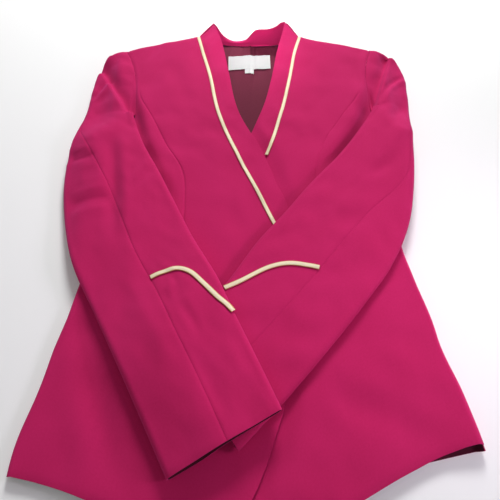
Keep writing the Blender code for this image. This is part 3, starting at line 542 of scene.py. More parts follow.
rows = np.linspace(LINING_LOW, LINING_HIGH, LINING_ROWS)
ends = []
for side in BOTH:
    hole = along_at(ARMHOLES[side][3:], rows)
    edge = np.where(rows <= UNDERARM_Y[side], side_x(side, rows), hole)
    ends.append(edge - sign_of(side) * LINING_INSET)
x = ends[0][:, None] + (ends[1] - ends[0])[:, None] * even(LINING_COLUMNS)[None]
y = np.repeat(rows[:, None], x.shape[1], 1)
lift = smooth(1.0 - (y - LINING_LOW) / (4 * CM))
y = y + lift * np.maximum(across_at(BACK_HEM, x) + LINING_HEM - y, 0.0)
climb = even(LINING_TOP_ROWS)[1:, None]
x = join(x, x[-1] + (x[-1] * LINING_TOP_NARROWING - x[-1]) * climb)
y = join(y, y[-1] + (LINING_TOP - y[-1]) * climb)
grid = np.stack([x, y, lining_height(x, y)], -1)
back_lining = wall("back_lining_satin", grid, with_normals(grid), LINING_CLOTH, SATIN, 0.0)
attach(back_lining, "root")
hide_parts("back_lining")


# Label: a blank woven damask label sewn to the lining along its edge, and a loose size tab of
# the same tape below it.

LABEL_SIZE = (6.6 * CM, 3.1 * CM)
LABEL_AT = (-0.1 * CM, 34.0 * CM)
LABEL_LIFT = 0.75 * MM
LABEL_TURN = math.radians(0.8)
LABEL_DROOP = 2.4 * MM
TAPE = 0.45 * MM
TAPE_GAP = 0.1 * MM
TAPE_STEPS = (41, 21)
TAPE_STIFFNESS = 0.55
TAB_SIZE = (1.4 * CM, 1.1 * CM)
TAB_DOWN = 0.3 * MM
TAB_LIFT = 0.5 * MM

DAMASK = woven(
    "white_damask",
    deep=(0.46, 0.46, 0.46), pale=(0.58, 0.58, 0.575),
    ribs=2600.0, slant=0.0, uneven=0.12, relief=0.06 * MM,
    look={
        "Roughness": 0.75, "Specular IOR Level": 0.2, "Sheen Weight": 0.1, "Sheen Roughness": 0.5
    },
)


def tape(name, middle, size, rise, turn=0.0, droop=0.0):
    """Thin piece of tape that follows the lining under it."""
    u = np.linspace(-0.5, 0.5, TAPE_STEPS[0])[None] * size[0]
    v = np.linspace(-0.5, 0.5, TAPE_STEPS[1])[:, None] * size[1]
    x = middle[0] + u * math.cos(turn) - v * math.sin(turn)
    y = middle[1] + u * math.sin(turn) + v * math.cos(turn)
    y = y - droop * np.maximum(-u / LABEL_SIZE[0] * 2, 0.0) ** 1.5
    under = lining_height(x, y)
    under = (1 - TAPE_STIFFNESS) * under + TAPE_STIFFNESS * under.max()
    grid = np.stack([x, y, under + TAPE + TAPE_GAP + rise(u, v)], -1)
    return wall(name, grid, with_normals(grid), TAPE, DAMASK, 0.3), grid


def label_rise(u, v):
    """The label domes a little between its stitched edges."""
    edge = np.minimum(LABEL_SIZE[0] / 2 - np.abs(u), LABEL_SIZE[1] / 2 - np.abs(v))
    return LABEL_LIFT * smooth(edge / (9 * MM))


def tab_rise(u, v):
    return TAB_LIFT * smooth((TAB_SIZE[1] / 2 - v) / TAB_SIZE[1])


label, label_face = tape(
    "blank_label", LABEL_AT, LABEL_SIZE, label_rise, LABEL_TURN, LABEL_DROOP
)
tab_at = (LABEL_AT[0], LABEL_AT[1] - (LABEL_SIZE[1] + TAB_SIZE[1]) / 2 - TAB_DOWN)
size_tab, _ = tape("blank_tab", tab_at, TAB_SIZE, tab_rise)
for piece, node, cut in ((label, "label", LABEL_SIZE), (size_tab, "size_tab", TAB_SIZE)):
    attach(piece, "root")
    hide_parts(node)


# Fronts: one panel of the suiting each, from the side seam to the front edge, shaped by a long
# curved dart. The right one laps over the left, and both lie in soft folds.

REST = 1.7 * MM
SIDE_REACH = 5.0 * CM
CHEST_START = 11.0 * CM
CHEST_RISE = 5.0 * CM
UNDERLAP = 3.6 * MM
UNDERLAP_REACH = 2.2 * CM
SHOULDER_SHARE = 0.2
SHOULDER_HELD = 2.5 * CM
BAND_END_Y = -2.0 * CM
BAND_POINT = 0.5 * CM
DART_Y = (-1.0 * CM, 25.5 * CM)
DART_GROOVE = 0.85 * MM
GROOVE_WIDTH = 1.3 * MM
# Depth and reach of the dip along a seam.
BAND_DIP = (0.5 * MM, 1.5 * MM)
HOLE_DIP = (1.1 * MM, 2.2 * MM)
NEAR_SEAM = (0.0, 0.8 * MM, 1.6 * MM, 3.0 * MM)
TURN_ANGLES = (80, 70, 60, 45, 30, 15, 0, -15, -30, -45, -60, -70, -80)
CLOTH_WAVES = 1.5
# Low waves of the cloth: length in centimetres and height in millimetres.
WAVES = ((7.1, 0.45), (4.3, 0.30), (2.7, 0.16), (1.6, 0.07))
# Forms of a crease, in widths of it: a tuck's sharp edge and slow far side, the heaps beside a
# trough, and how far the ends fade.
TUCK_WIDTH, TUCK_EDGE, TUCK_FALL, TUCK_RISE = 3.0, 0.8, 4.0, 0.3
HEAP, HEAP_OFF = 0.35, 1.6
CREASE_FADE = 0.25
DART_COLUMNS = (11, 16)

Height = namedtuple("Height", "y x0 x4 x8 x14 x20")
HEIGHT_AT = (0.0, 4.0, 8.0, 14.0, 20.0)
# Height of the front over the surface, in millimetres.
HEIGHTS = table(
    Height, (-32, 10, 10, 10, 9.5, 9), (-20, 10.5, 11, 11, 10.5, 9.5),
    (-10, 11.5, 12, 12, 11.5, 10), (0, 12.5, 13, 13, 12.5, 10.5), (10, 16, 17, 16.5, 15.5, 12.5),
    (18, 20, 21, 19.5, 19, 17), (26, 25, 24.5, 22, 23, 21), (34, 32, 31.5, 24, 23, 22),
    (40, 44, 42.5, 26, 23.5, 22),
)
# Front edge of each side, from the round corner at the hem to the top of the neck band. The two
# sides have the same corner.
FRONT_CORNER = (
    (-5.5, -30.7), (-3, -30.3), (-1, -29.3), (0.2, -27.9), (1.5, -25.2), (2.6, -22.2),
    (3.6, -19.1), (4.9, -12), (5.4, -5), (5.4, 0), (4.8, 5.5), (3.6, 8.8), (1.6, 14.6),
)
EDGES = {
    "right": table(
        Place, *FRONT_CORNER, (0, 17.9), (-1.9, 22.4), (-3.1, 28.7), (-4.2, 34.6), (-5.7, 39.3),
    ),
    "left": table(
        Place, *((-x, y) for x, y in FRONT_CORNER), (0.2, 18), (2, 22.8), (3.2, 28), (4.1, 33.2),
        (5.6, 39.5),
    ),
}
# Seam between a front and its neck band, from the front edge up to the neck.
BAND_SEAMS = {
    "right": table(
        Place, (5.4, -2), (4.6, 0.2), (3.1, 2.9), (1.1, 7.7), (-2.1, 14.8), (-4.5, 21.4),
        (-5.9, 28.4), (-7.3, 34), (-8.1, 37.35),
    ),
    "left": table(
        Place, (-5.4, -2), (-4.6, 0.2), (-3.1, 2.9), (-1.1, 7.7), (2.4, 14.4), (4.4, 21.2),
        (5.7, 27.2), (6.8, 33.4), (7.8, 37.35),
    ),
}
# Dart from the armhole to the waist, run on to the hem and the shoulder as a guide line.
DARTS = {
    "right": table(
        Place, (-10.5, -29.6), (-9.2, -14), (-8.5, 0), (-8.4, 6), (-9, 11.2), (-11.5, 15.7),
        (-13.9, 20.7), (-16.1, 24.9), (-16, 29.5), (-14.6, 36),
    ),
    "left": table(
        Place, (10.5, -28.1), (9.2, -14), (8.6, 0), (8.5, 6), (8.8, 11.2), (10.3, 16.3),
        (12.9, 20.6), (16.4, 26.2), (15.8, 30.5), (14.4, 36),
    ),
}
FOLD_RING = 4
LAST_RING = 12
Ring = namedtuple("Ring", "inner_x inner_y outer_x outer_y puff_in puff_mid puff_out seam")
# Sections of each sleeve from the shoulder to the cuff. Puffs are millimetres over what the
# section lies on, and seam is where the back seam crosses it.
SLEEVES = {
    "right": table(
        Ring, (-19.08, 34.1, -19.12, 35.25, 0, 0, 0.5, 1.6),
        (-18.25, 32.3, -22.1, 33.5, 0, 6, 12, 1.5), (-17.35, 29.3, -23.3, 30.2, 0, 11, 15, 1.4),
        (-16.85, 25.6, -23.75, 26.2, 0, 12, 15, 1.3),
        (-16.65, 21.4, -23.9, 22.3, 2.3, 12, 14, 1.2),
        (-14.7, 15.8, -24.9, 15.8, 7.5, 11, 12, 0.76), (-12, 10.7, -24.7, 9.3, 8.5, 11, 11, 0.56),
        (-9.45, 5.6, -23.3, 2.8, 8.5, 11, 10, 0.5), (-6.9, 0.5, -20.9, -3.4, 8.5, 11, 9.5, 0.49),
        (-4.1, -4.5, -17.6, -9.1, 8.5, 11, 9, 0.485),
        (-1.7, -9.7, -14.3, -14.8, 9, 11.5, 9.5, 0.485),
        (0.8, -14.9, -11.1, -20.5, 9.5, 12.5, 10, 0.48),
        (3.2, -20, -7.9, -26.3, 10, 13, 10.5, 0.485),
    ),
    "left": table(
        Ring, (18.68, 34.3, 18.72, 35.45, 0, 0, 0.5, 1.6),
        (17.95, 32.2, 22.3, 33.4, 0, 6, 12, 1.5), (17.45, 29.2, 23.6, 30.1, 0, 11, 15, 1.4),
        (17.45, 26, 23.55, 26.7, 0, 12, 15, 1.3), (17.75, 22.6, 23.35, 23.5, 2.3, 12, 14, 1.2),
        (15, 17.7, 22.45, 16.8, 7.5, 11, 12, 1.05), (11.7, 13.1, 21.6, 9.9, 8.5, 10.5, 11, 0.9),
        (8, 8.9, 19.9, 3, 8.5, 10.5, 9.5, 0.65), (4.5, 4.4, 16.9, -3, 8.5, 10.5, 9, 0.565),
        (1, 0.2, 12.8, -8.4, 8.5, 10.5, 9, 0.56), (-2.2, -4.7, 8.3, -13.7, 8.5, 10.5, 9, 0.53),
        (-5.4, -9.3, 3.7, -18.8, 8, 10, 8.5, 0.51), (-8.7, -13.9, -1.1, -23.7, 7.5, 9.5, 8, 0.5),
    ),
}
Crease = namedtuple("Crease", "x0 y0 x1 y1 x2 y2 width depth lean", defaults=(0.0,))
# Troughs (depth over 0) and ridges of the fronts. Width and depth are millimetres. A lean of 1
# or -1 heaps the cloth on one side of a trough, and a lean of 2 or -2 makes it a sharp tuck.
FRONT_CREASES = table(
    Crease, (18.4, 28.4, 15.9, 18.8, 9, 9.8, 13, 9.5), (-18, 27.4, -14.4, 14.8, -9.1, 4.2, 9, 6),
    (12, -9.4, 15.2, -6.6, 18.6, -4.2, 6, -1.8), (14, -7.2, 16.4, -5.2, 18.9, -3.2, 5, 1.5, 0.5),
    (8.6, -19.4, 14, -20.6, 18, -24.2, 17, 2.2), (15, -12, 17, -15.5, 19.5, -19, 13, -1),
    (9, -24, 13, -25.3, 16.5, -26, 10, -1.2), (-20.2, -6, -16.6, -16, -13, -27, 14, 4.4),
    (-9.4, -19.8, -8.2, -21, -7.2, -22.6, 6, 1.3, 0.3),
    (-14.6, -21, -16.5, -24, -17.6, -27, 12, -1.2), (-12, 31, -10.4, 27, -8.4, 22.6, 11, 0.9),
    (9.4, 31, 10.2, 26.4, 11, 22, 12, 0.7), (-15.5, 15.6, -12.2, 13.2, -9.6, 12.4, 9, 1.4),
    (2.5, -3.6, 1.2, -8.4, 1.5, -14, 12, 0.9), (6.2, -21, 4.6, -25, 3, -28.6, 9, -0.9),
)


def crown(x, y):
    """Height from the table alone."""
    levels = read(HEIGHTS, Height._fields[1:], index_of(column(HEIGHTS, "y"), y / CM))
    return through(np.moveaxis(levels, -1, 0), index_of(HEIGHT_AT, np.abs(x) / CM)) * MM


def off_sides(x, y, start, reach):
    """0 at the sides of the body, and 1 inside them and over the whole chest."""
    inward = np.where(x < 0, -side_x("right", y), side_x("left", y)) - np.abs(x)
    return np.maximum(smooth((inward - start) / reach), smooth((y - CHEST_START) / CHEST_RISE))


def plain_height(x, y):
    """Smooth height of the fronts, which come down to the rolled sides."""
    edge = 2 * np.where(x < 0, side_roll("right", y), side_roll("left", y))
    return edge + (crown(x, y) - edge) * off_sides(x, y, 0.0, SIDE_REACH)


def nearest(line, x, y):
    """Distance to a plan line, the side of it and the share along it."""
    best, side, share = np.full(np.shape(x), 1e9), np.zeros(np.shape(x)), np.zeros(np.shape(x))
    for i, ((ax, ay), (bx, by)) in enumerate(zip(line[:-1], line[1:])):
        ex, ey = bx - ax, by - ay
        along = np.clip(((x - ax) * ex + (y - ay) * ey) / max(ex * ex + ey * ey, TINY), 0.0, 1.0)
        away = np.hypot(ax + ex * along - x, ay + ey * along - y)
        closer = away < best
        best = np.where(closer, away, best)
        side = np.where(closer, np.sign(ex * (y - ay) - ey * (x - ax)), side)
        share = np.where(closer, (i + along) / (len(line) - 1), share)
    return best, side, share


def tuck(s):
    """Fold whose far side stands over the near one with a sharp edge."""
    edge = bell(s / TUCK_EDGE)
    far = TUCK_RISE * (1 - edge) * bell(s / TUCK_FALL) - edge
    return np.where(s < 0, -bell(s / TUCK_WIDTH), far)


def creases(rows, x, y):
    """Height of the creases of a table, in metres."""
    total = np.zeros(np.shape(x))
    t = even(13)[:, None]
    for row in rows:
        start, middle, end = np.array(row[:6]).reshape(3, 2) * CM
        middle = 2 * middle - (start + end) / 2
        line = start * (1 - t) ** 2 + middle * 2 * t * (1 - t) + end * t**2
        away, side, share = nearest(line, x, y)
        q = away * side / (row.width * MM)
        if abs(row.lean) > 1:
            form = tuck(q * np.sign(row.lean))
        else:
            form = -bell(q)
            for lean in (1.0, -1.0):
                form = form + HEAP * (1 + lean * row.lean) * bell(q - HEAP_OFF * lean)
        fade = smooth(share / CREASE_FADE) * smooth((1 - share) / CREASE_FADE)
        total = total + row.depth * MM * form * fade
    return total


def ripple(x, y, seed):
    """Low uneven waves of cloth that has been worn and laid down, in metres."""
    total = 0.0
    for i, (length, size) in enumerate(WAVES):
        turn = seed * 1.7 + i * 2.3
        u = (x * math.cos(turn) + y * math.sin(turn)) / (length * CM) * math.tau
        v = (y * math.cos(turn) - x * math.sin(turn)) / (length * 1.7 * CM) * math.tau
        total = total + size * np.sin(u + 1.3 * np.sin(v + seed) + i) * np.cos(0.6 * v + 2 * i)
    return total * MM


def outside(outline, x, y):
    """Distance from a closed plan outline, negative inside it."""
    closed = join(outline, outline[:1])
    near = nearest(closed, x, y)[0]
    odd = np.zeros(np.shape(x), bool)
    for (ax, ay), (bx, by) in zip(closed[:-1], closed[1:]):
        if ay != by:
            odd ^= ((ay > y) != (by > y)) & (x < ax + (y - ay) / (by - ay) * (bx - ax))
    return np.where(odd, -near, near)


def ring_ends(side, at):
    """Inner and outer ends of sleeve sections in plan; the first sections are sewn in."""
    at = np.asarray(at, float)
    sewn = armhole_point(side, len(ARMHOLES[side]) - 1.0 - at)
    inner = read(SLEEVES[side], ("inner_x", "inner_y"), at) * CM
    inner = np.where((at < FOLD_RING)[..., None], sewn, inner)
    outer = read(SLEEVES[side], ("outer_x", "outer_y"), at) * CM
    inner = toward(inner, outer, np.where((at > 0) & (at <= FOLD_RING), SEAM, 0.0)[..., None])
    inner[..., 0] += np.where(at == 0, sign_of(side) * 0.2 * MM, 0.0)
    return inner, outer


def toward(point, target, distance):
    way = target - point
    return point + way / np.maximum(np.linalg.norm(way, axis=-1, keepdims=True), 1e-9) * distance


def sleeve_outline(side, first):
    inner, outer = ring_ends(side, np.arange(first, LAST_RING + 0.01, 0.5))
    return join(inner, outer[::-1])


LAID_SLEEVES = [sleeve_outline(side, FOLD_RING) for side in BOTH]


def front_relief(x, y):
    """Folds of the fronts where they are free of the sleeves and the rolled sides."""
    free = np.minimum(*(outside(outline, x, y) for outline in LAID_SLEEVES))
    free = smooth((free + 1.0 * MM) / (8 * MM))
    folds = creases(FRONT_CREASES, x, y) + CLOTH_WAVES * ripple(x, y, 1.0)
    return off_sides(x, y, 5 * MM, 15 * MM) * np.where(folds > 0, folds * free, folds)


def seam_dip(line, x, y, size):
    depth, reach = size
    return -depth * bell(nearest(line, x, y)[0] / reach)


def hole_dip(side, x, y):
    line = armhole_point(side, np.linspace(0.0, len(ARMHOLES[side]) - 1.0, 29))
    return seam_dip(line, x, y, HOLE_DIP)


def front_height(side, x, y):
    """Outer face of a front and its neck band."""
    band_line = curve_point(BAND_SEAMS[side], even(33))
    z = plain_height(x, y) + front_relief(x, y)
    z = z + seam_dip(band_line, x, y, BAND_DIP) + hole_dip(side, x, y)
    if side == "left":
        beyond = x - along_at(EDGES["right"], y)
        z = z - UNDERLAP * smooth(1.05 - beyond / UNDERLAP_REACH)
    return z


def inner_border(side, shares):
    """Front edge up to the end of the band, then the band seam."""
    edge = tuple(row for row in EDGES[side] if row.y * CM < BAND_END_Y - BAND_POINT)
    return curve_point(edge + BAND_SEAMS[side], shares)


def front(side):
    places, rolls, start, shares = outer_border(side, HEMS[side][0].y * CM)
    dart = curve_point(DARTS[side], shares)
    inner = inner_border(side, shares)
    inner = np.where(inner[:, 1:] > BAND_END_Y, toward(inner, dart, SEAM), inner)
    plan, other = (
        spread(*ends, NEAR_SEAM, count)
        for ends, count in zip(((start, dart), (dart, inner)), DART_COLUMNS)
    )
    plan = join(plan[:, :-1], other, axis=1)
    hem_y = across_at(HEMS[side], plan[0, :, 0])
    top_y = across_at(SHOULDERS[side], plan[-1, :, 0]) - SHOULDER_ROLL
    held = smooth(np.abs(plan[-1, :, 0] - plan[-1, 0, 0]) / SHOULDER_HELD)
    fit_ends(plan, shares, SHOULDER_SHARE, hem_y, top_y, held)
    x, y = plan[..., 0], plan[..., 1]
    run = np.linalg.norm(plan - dart[:, None], axis=-1)
    in_dart = smooth((y - DART_Y[0]) / (2 * CM)) * smooth((DART_Y[1] - y) / (1 * CM))
    z = front_height(side, x, y) - DART_GROOVE * bell(run / GROOVE_WIDTH) * in_dart
    line = np.stack([x, y, z], -1)
    grid = join(roll_columns(side, places, rolls, line[:, 0]), line, axis=1)
    turns = []
    for angle in np.radians(TURN_ANGLES):
        rise = grid[-1, :, 2] - SHOULDER_ROLL if angle > 0 else SHOULDER_ROLL
        turned = grid[-1] + [0.0, SHOULDER_ROLL * math.cos(angle), 0.0]
        turned[:, 2] = SHOULDER_ROLL + rise * math.sin(angle)
        turns.append(turned)
    grid = join(grid, np.array(turns))
    piece = wall(side + "_front", grid, with_normals(grid, (50, 20)), CLOTH, SUITING)
    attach(piece, "root")
    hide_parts("front_" + side)
    return piece


fronts = {side: front(side) for side in BOTH}


# Neck bands: a band of the suiting along each front edge, from its point at the closure up to
# the neck. Its seam with the front lies under the cream trim.

BAND_STEPS = (92, 68)
BAND_COLUMNS = 9


def neck_band(side):
    edge = [row for row in EDGES[side] if row.y * CM > BAND_END_Y - BAND_POINT]
    seam = inner_border(side, outer_border(side, HEMS[side][0].y * CM, BAND_STEPS)[3])
    seam = seam[seam[:, 1] > BAND_END_Y]
    rise = (seam[:, 1] - seam[0, 1]) / (seam[-1, 1] - seam[0, 1])
    low = index_of([row.y * CM for row in edge], seam[0, 1])
    outer = read(edge, "xy", low + (len(edge) - 1 - low) * rise) * CM
    plan = spread(toward(seam, outer, SEAM), outer, (0.0, 0.8 * MM, 1.8 * MM), BAND_COLUMNS)
    x, y = plan[..., 0], plan[..., 1]
    grid = np.stack([x, y, front_height(side, x, y)], -1)
    piece = wall(side + "_neck_band", grid, with_normals(grid), CLOTH, SUITING)
    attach(piece, "root")
    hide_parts("neck_band_" + side)
    return piece


bands = {side: neck_band(side) for side in BOTH}


# Back neck band: a strip of the suiting that stands round the back of the neck and leans out,
# with a wavy upper edge. Its foot laps over the neckline of the back.

BAND_FOOT_IN = 0.985
BAND_FOOT_LAP = 1.2 * MM
BAND_FOOT_Z = 3.4 * MM
BAND_WAVE = 0.5 * MM

BandRib = namedtuple("BandRib", "base_x base_y base_z crest_x crest_y crest_z tip_x tip_y tip_z")
# Ribs of the band from the right shoulder round the neck to the left shoulder.
BACK_BAND = table(
    BandRib, (-7.95, 37.7, 2.3, -6.9, 38.6, 2.85, -5.7, 39.55, 3.45),
    (-7.75, 38.6, 1.25, -6.5, 39.1, 2.05, -5.2, 39.45, 2.8),
    (-5.9, 38.9, 0.4, -5, 38.9, 1.15, -4.4, 39.05, 1.75),
    (-3.5, 38.6, 0.2, -3.3, 38.4, 0.9, -3.3, 38.95, 0.95),
    (-1.9, 38.45, 0.2, -1.9, 38.25, 0.85, -1.9, 38.9, 0.72),
    (-0.5, 38.4, 0.2, -0.5, 38.2, 1.05, -0.6, 38.75, 1.2),
    (1, 38.4, 0.2, 1, 38.2, 1.75, 0.8, 38.4, 3),
    (2.8, 38.5, 0.2, 2.8, 38.3, 1.85, 2.8, 38.5, 3.15),
    (4.6, 38.8, 0.25, 4.4, 38.75, 1.9, 4.2, 38.9, 3.4),
    (6.3, 38.9, 0.45, 5.7, 39.2, 2, 4.9, 39.45, 3.6),
    (7.5, 38.6, 1.25, 6.6, 39.25, 2.5, 5.3, 39.75, 3.6),
    (7.6, 37.7, 2.3, 6.6, 38.75, 2.9, 5.6, 39.8, 3.45),
)

at = np.arange(0.0, len(BACK_BAND) - 0.99, 0.125)
ribs = read(BACK_BAND, BandRib._fields, at) * CM
base, crest, tip = ribs[:, :3], ribs[:, 3:6], ribs[:, 6:]
height = even(15)[:, None, None]
foot_x = base[:, 0] * BAND_FOOT_IN
foot = np.stack([foot_x, across_at(NECKLINE, foot_x) - BAND_FOOT_LAP, 0 * at + BAND_FOOT_Z], -1)
foot[:, 1] = np.minimum(foot[:, 1], base[:, 1] - BAND_FOOT_LAP)
share = even(6)[:-1, None, None]
low, mid, high = (1 - height) * (1 - 2 * height), 4 * height * (1 - height), height * (2 * height - 1)
grid = base * low + crest * mid + tip * high
grid[..., 1] += height[..., 0] * BAND_WAVE * np.sin(at * 3.1)[None]
grid = join(foot * (1 - share) + base * share, grid)
normals = with_normals(grid, (12, 44), (0, -1, 0))
back_band = wall("standing_neck_band", grid, normals, CLOTH, SUITING)
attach(back_band, "root")
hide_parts("back_neck_band")


# Sleeves: two panels each, a top sleeve and an under sleeve. Each sleeve is set into its
# armhole, lies flat and is folded across the front, the right one over the left.

UNDERARM_RING = 5
SLEEVE_STACK = 12.7 * MM
NEAR_FALL = 2.5 * CM
NEAR_FLAT = 1.0 * CM
WIDE_FALL = 6.0 * CM
CROSS_FALL = 3.0 * CM
CROSS_FALL_TOP = 9.5 * CM
CROSS_FLAT = 0.7 * CM
SLEEVE_OPEN = 4.5 * MM
SLEEVE_WAVES = {"right": 2.0, "left": 3.0}
INSEAM_IN = 0.12
FOLD_FADE, OUTER_FADE, SEAM_FADE, JOIN_FADE = 0.10, 0.08, 0.06, 0.12
COVER_FADE = 12 * MM
LIFT_RINGS = (3.2, 5.0)
END_STEPS = 400
ROLL_DEPTH = 5.5 * MM
SEAM_GROOVE = 0.55 * MM
CAP_RING_STEP = 0.0625
RING_STEP = 0.125
UPPER_COLUMNS = 34
PART_COLUMNS = 5
OUTER_COLUMNS = 20
OUTER_TURNS = 10
LOWER_COLUMNS = 14
FOLD_TURNS = np.radians(np.arange(-90.0, 90.0, 18.0))
# Troughs and ridges of the sleeves, on the same plan as those of the fronts.
SLEEVE_CREASES = {
    "right": table(
        Crease, (-24.6, 34.2, -20.6, 27.6, -15, 17.2, 4.2, 7, -2),
        (-21, 28.8, -22.2, 26.8, -23.8, 24.2, 4.5, 1.8, 1),
        (-25.4, 14.4, -23, 13.4, -20, 13.2, 6, 4.2, 0.4),
        (-19.2, 17.4, -17.7, 9, -16.6, 0, 9, 3.2, 0.6),
        (-13, 12.2, -14.2, 10.6, -15.4, 8.8, 6, -1.6),
        (-23.6, 5.6, -20.6, 6.2, -17.6, 6.8, 8, 4.2, 0.3),
        (-22.8, 9.6, -20.4, 9.2, -17.8, 10.2, 7, -1.3),
        (-12.5, -2, -10.6, -5.6, -8.8, -10, 14, 0.5),
        (-10.2, -7.9, -8.2, -7.4, -6.2, -6.6, 5, 1.1, 0.4),
        (-11.6, -3.8, -9.6, -4.6, -8, -6.4, 4, 0.9, 0.5),
        (-9.4, -4.4, -8.9, -6.4, -8.8, -8.8, 4.5, -0.8),
        (-8, -9, -6.4, -10.4, -5.6, -12.6, 5, 0.9, -0.4),
        (-6, -13.6, -4.4, -16.8, -2.2, -20, 11, 1.5), (-14.8, -3, -11.5, -10, -7.6, -16, 10, -1),
        (-3, -12, -1.4, -15.4, 0, -17.4, 9, -1),
    ),
    "left": table(
        Crease, (22, 35.4, 19.7, 28.6, 16.6, 18.8, 4.2, 7, 2),
        (23.6, 29.8, 20.6, 27, 18.4, 22.6, 4.5, 2.4, 1),
        (23, 26, 21.6, 22.4, 19.6, 19.4, 8, 1.7, 0.2),
        (22.6, 21.4, 20.2, 16.8, 17.2, 13.6, 10, -1.3),
        (21, 14.6, 18.4, 11.8, 15.6, 10, 8, 1.3, 0.3), (18.8, 8.6, 15.6, 4.6, 12, 1, 12, 1.2),
        (14.4, 8.2, 12, 5.2, 9, 3, 10, -0.9),
    ),
}


def outline_of(side):
    """Plan line of one side of the body, from the hem to the neck."""
    y = np.linspace(HEMS[side][0].y * CM, UNDERARM_Y[side], 15)[1:]
    hole = armhole_point(side, np.array([1, 2, 3, 4, 5, 6, 6.5, 7]))
    hem, shoulder = np.array(HEMS[side][::-1]) * CM, np.array(SHOULDERS[side]) * CM
    return join(hem, np.stack([side_x(side, y), y], -1), hole, shoulder)


BODY_OUTLINE = join(outline_of("right"), outline_of("left")[::-1])
UNDER_SLEEVE_OUTLINE = sleeve_outline("left", 0)
OVER_SLEEVE_OUTLINE = sleeve_outline("right", UNDERARM_RING)


def stack(side, x, y, fall=CROSS_FALL):
    """Extra height of the right sleeve where it crosses the left one."""
    if side == "left":
        return np.zeros(np.shape(x))
    beyond = outside(UNDER_SLEEVE_OUTLINE, x, y) - CROSS_FLAT
    return SLEEVE_STACK * smooth(1.0 - beyond / fall)


def sleeve_relief(side, at, share, x, y):
    """Creases of the upper side of a sleeve, which fade at its folds and where it is covered."""
    free = smooth((1.0 - share) / OUTER_FADE)
    held = smooth(share / SEAM_FADE)
    if at >= FOLD_RING:
        free = free * smooth(share / FOLD_FADE)
        held = held + (1 - held) * smooth(at - FOLD_RING)
    if side == "left":
        free = free * smooth((outside(OVER_SLEEVE_OUTLINE, x, y) - 1.0 * MM) / COVER_FADE)
    waves = CLOTH_WAVES * ripple(x, y, SLEEVE_WAVES[side])
    return free * held * (creases(SLEEVE_CREASES[side], x, y) + waves)


def fold_bottom(side, x, y):
    return plain_height(x, y) + REST + stack(side, x, y)


def lower_face(side, at, x, y):
    near = smooth(1.0 - (outside(BODY_OUTLINE, x, y) - NEAR_FLAT) / NEAR_FALL)
    over = smooth((at - LIFT_RINGS[0]) / (LIFT_RINGS[1] - LIFT_RINGS[0]))
    return over * near * (plain_height(x, y) + REST) + stack(side, x, y)


def upper_face(side, at, share, x, y):
    wide = smooth(1.0 - outside(BODY_OUTLINE, x, y) / WIDE_FALL)
    a, b, c = read(SLEEVES[side], ("puff_in", "puff_mid", "puff_out"), at)
    puff = np.where(share < 0.5, a + (b - a) * smooth(share * 2), b + (c - b) * smooth(share * 2 - 1))
    z = wide * (plain_height(x, y) + REST * smooth(at - FOLD_RING))
    z = z + stack(side, x, y, CROSS_FALL_TOP) + puff * MM + sleeve_relief(side, at, share, x, y)
    joined = (1.0 - smooth(share / JOIN_FADE)) * (1.0 - smooth((at - FOLD_RING) / 0.5))
    z = z + joined * (front_relief(x, y) + hole_dip(side, x, y))
    if at > FOLD_RING:
        z = np.maximum(z, fold_bottom(side, x, y) * wide + SLEEVE_OPEN)
    return z


def sleeve_ring(side, at):
    """One section of a sleeve, round from the inner fold over the top and back below."""
    inner, outer = ring_ends(side, at)
    width = math.hypot(*(outer - inner))

    def plan(share):
        return inner[0] + (outer[0] - inner[0]) * share, inner[1] + (outer[1] - inner[1]) * share

    def upper(share):
        x, y = plan(share)
        return np.stack([x, y, upper_face(side, at, share, x, y)], -1)

    def lower(share):
        x, y = plan(share)
        return np.stack([x, y, lower_face(side, at, x, y)], -1)

    folded = at > FOLD_RING
    share_in = min(ROLL_DEPTH, 0.3 * width) / width if folded else 0.0
    depth_out = min(ROLL_DEPTH * 1.3, 0.3 * width)
    if at < 1:
        depth_out = min(0.5 * upper(0.9)[2], SHOULDER_ROLL, 0.95 * width)
    share_out = 1.0 - depth_out / width
    start = upper(share_in)
    if folded:
        x, y = plan(share_in + INSEAM_IN)
        first = np.array([[x, y, fold_bottom(side, x, y)]])
        low = fold_bottom(side, *plan(share_in))
        x, y = plan(share_in * (1 - np.cos(FOLD_TURNS)))
        z = (start[2] + low) / 2 + (start[2] - low) / 2 * np.sin(FOLD_TURNS)
        rolled = np.stack([x, y, z], -1)
    else:
        first = np.full((1, 3), np.nan)
        rolled = np.repeat(start[None], len(FOLD_TURNS), 0)
        rolled[FOLD_TURNS < -1e-6] = np.nan
    seam = through(column(SLEEVES[side], "seam"), at)
    face_seam = min(seam, share_out)
    turn = max(0.0, (seam - share_out) / (2.0 - share_out)) * math.pi
    reach = face_seam - share_in
    top = upper(share_in + reach * seam_steps(UPPER_COLUMNS, reach * width))
    high, deep = upper(share_out)[2], lower(share_out)[2]

    def outer_roll(first, last, count):
        angle = first + (last - first) * even(count + 1)[1:]
        x, y = plan(share_out + (1 - share_out) * np.sin(angle))
        return np.stack([x, y, (high + deep) / 2 + (high - deep) / 2 * np.cos(angle)], -1)

    if turn:
        part_roll = outer_roll(0.0, turn, PART_COLUMNS)
        rest = np.repeat(part_roll[-1:], OUTER_COLUMNS, 0)
    else:
        part_roll = np.repeat(top[-1:], PART_COLUMNS, 0)
        reach = share_out - face_seam
        steps = 1.0 - seam_steps(OUTER_COLUMNS, reach * width)[::-1]
        rest = upper(face_seam + reach * steps[1:])
    split = len(rolled) + len(top) + len(part_roll)
    round_out = outer_roll(turn, math.pi, OUTER_TURNS)
    end = lower_end(at, share_in, share_out, plan, width)
    under = lower(share_out + (end - share_out) * even(LOWER_COLUMNS + 1)[1:])
    return join(first, rolled, top, part_roll, rest, round_out, under), split


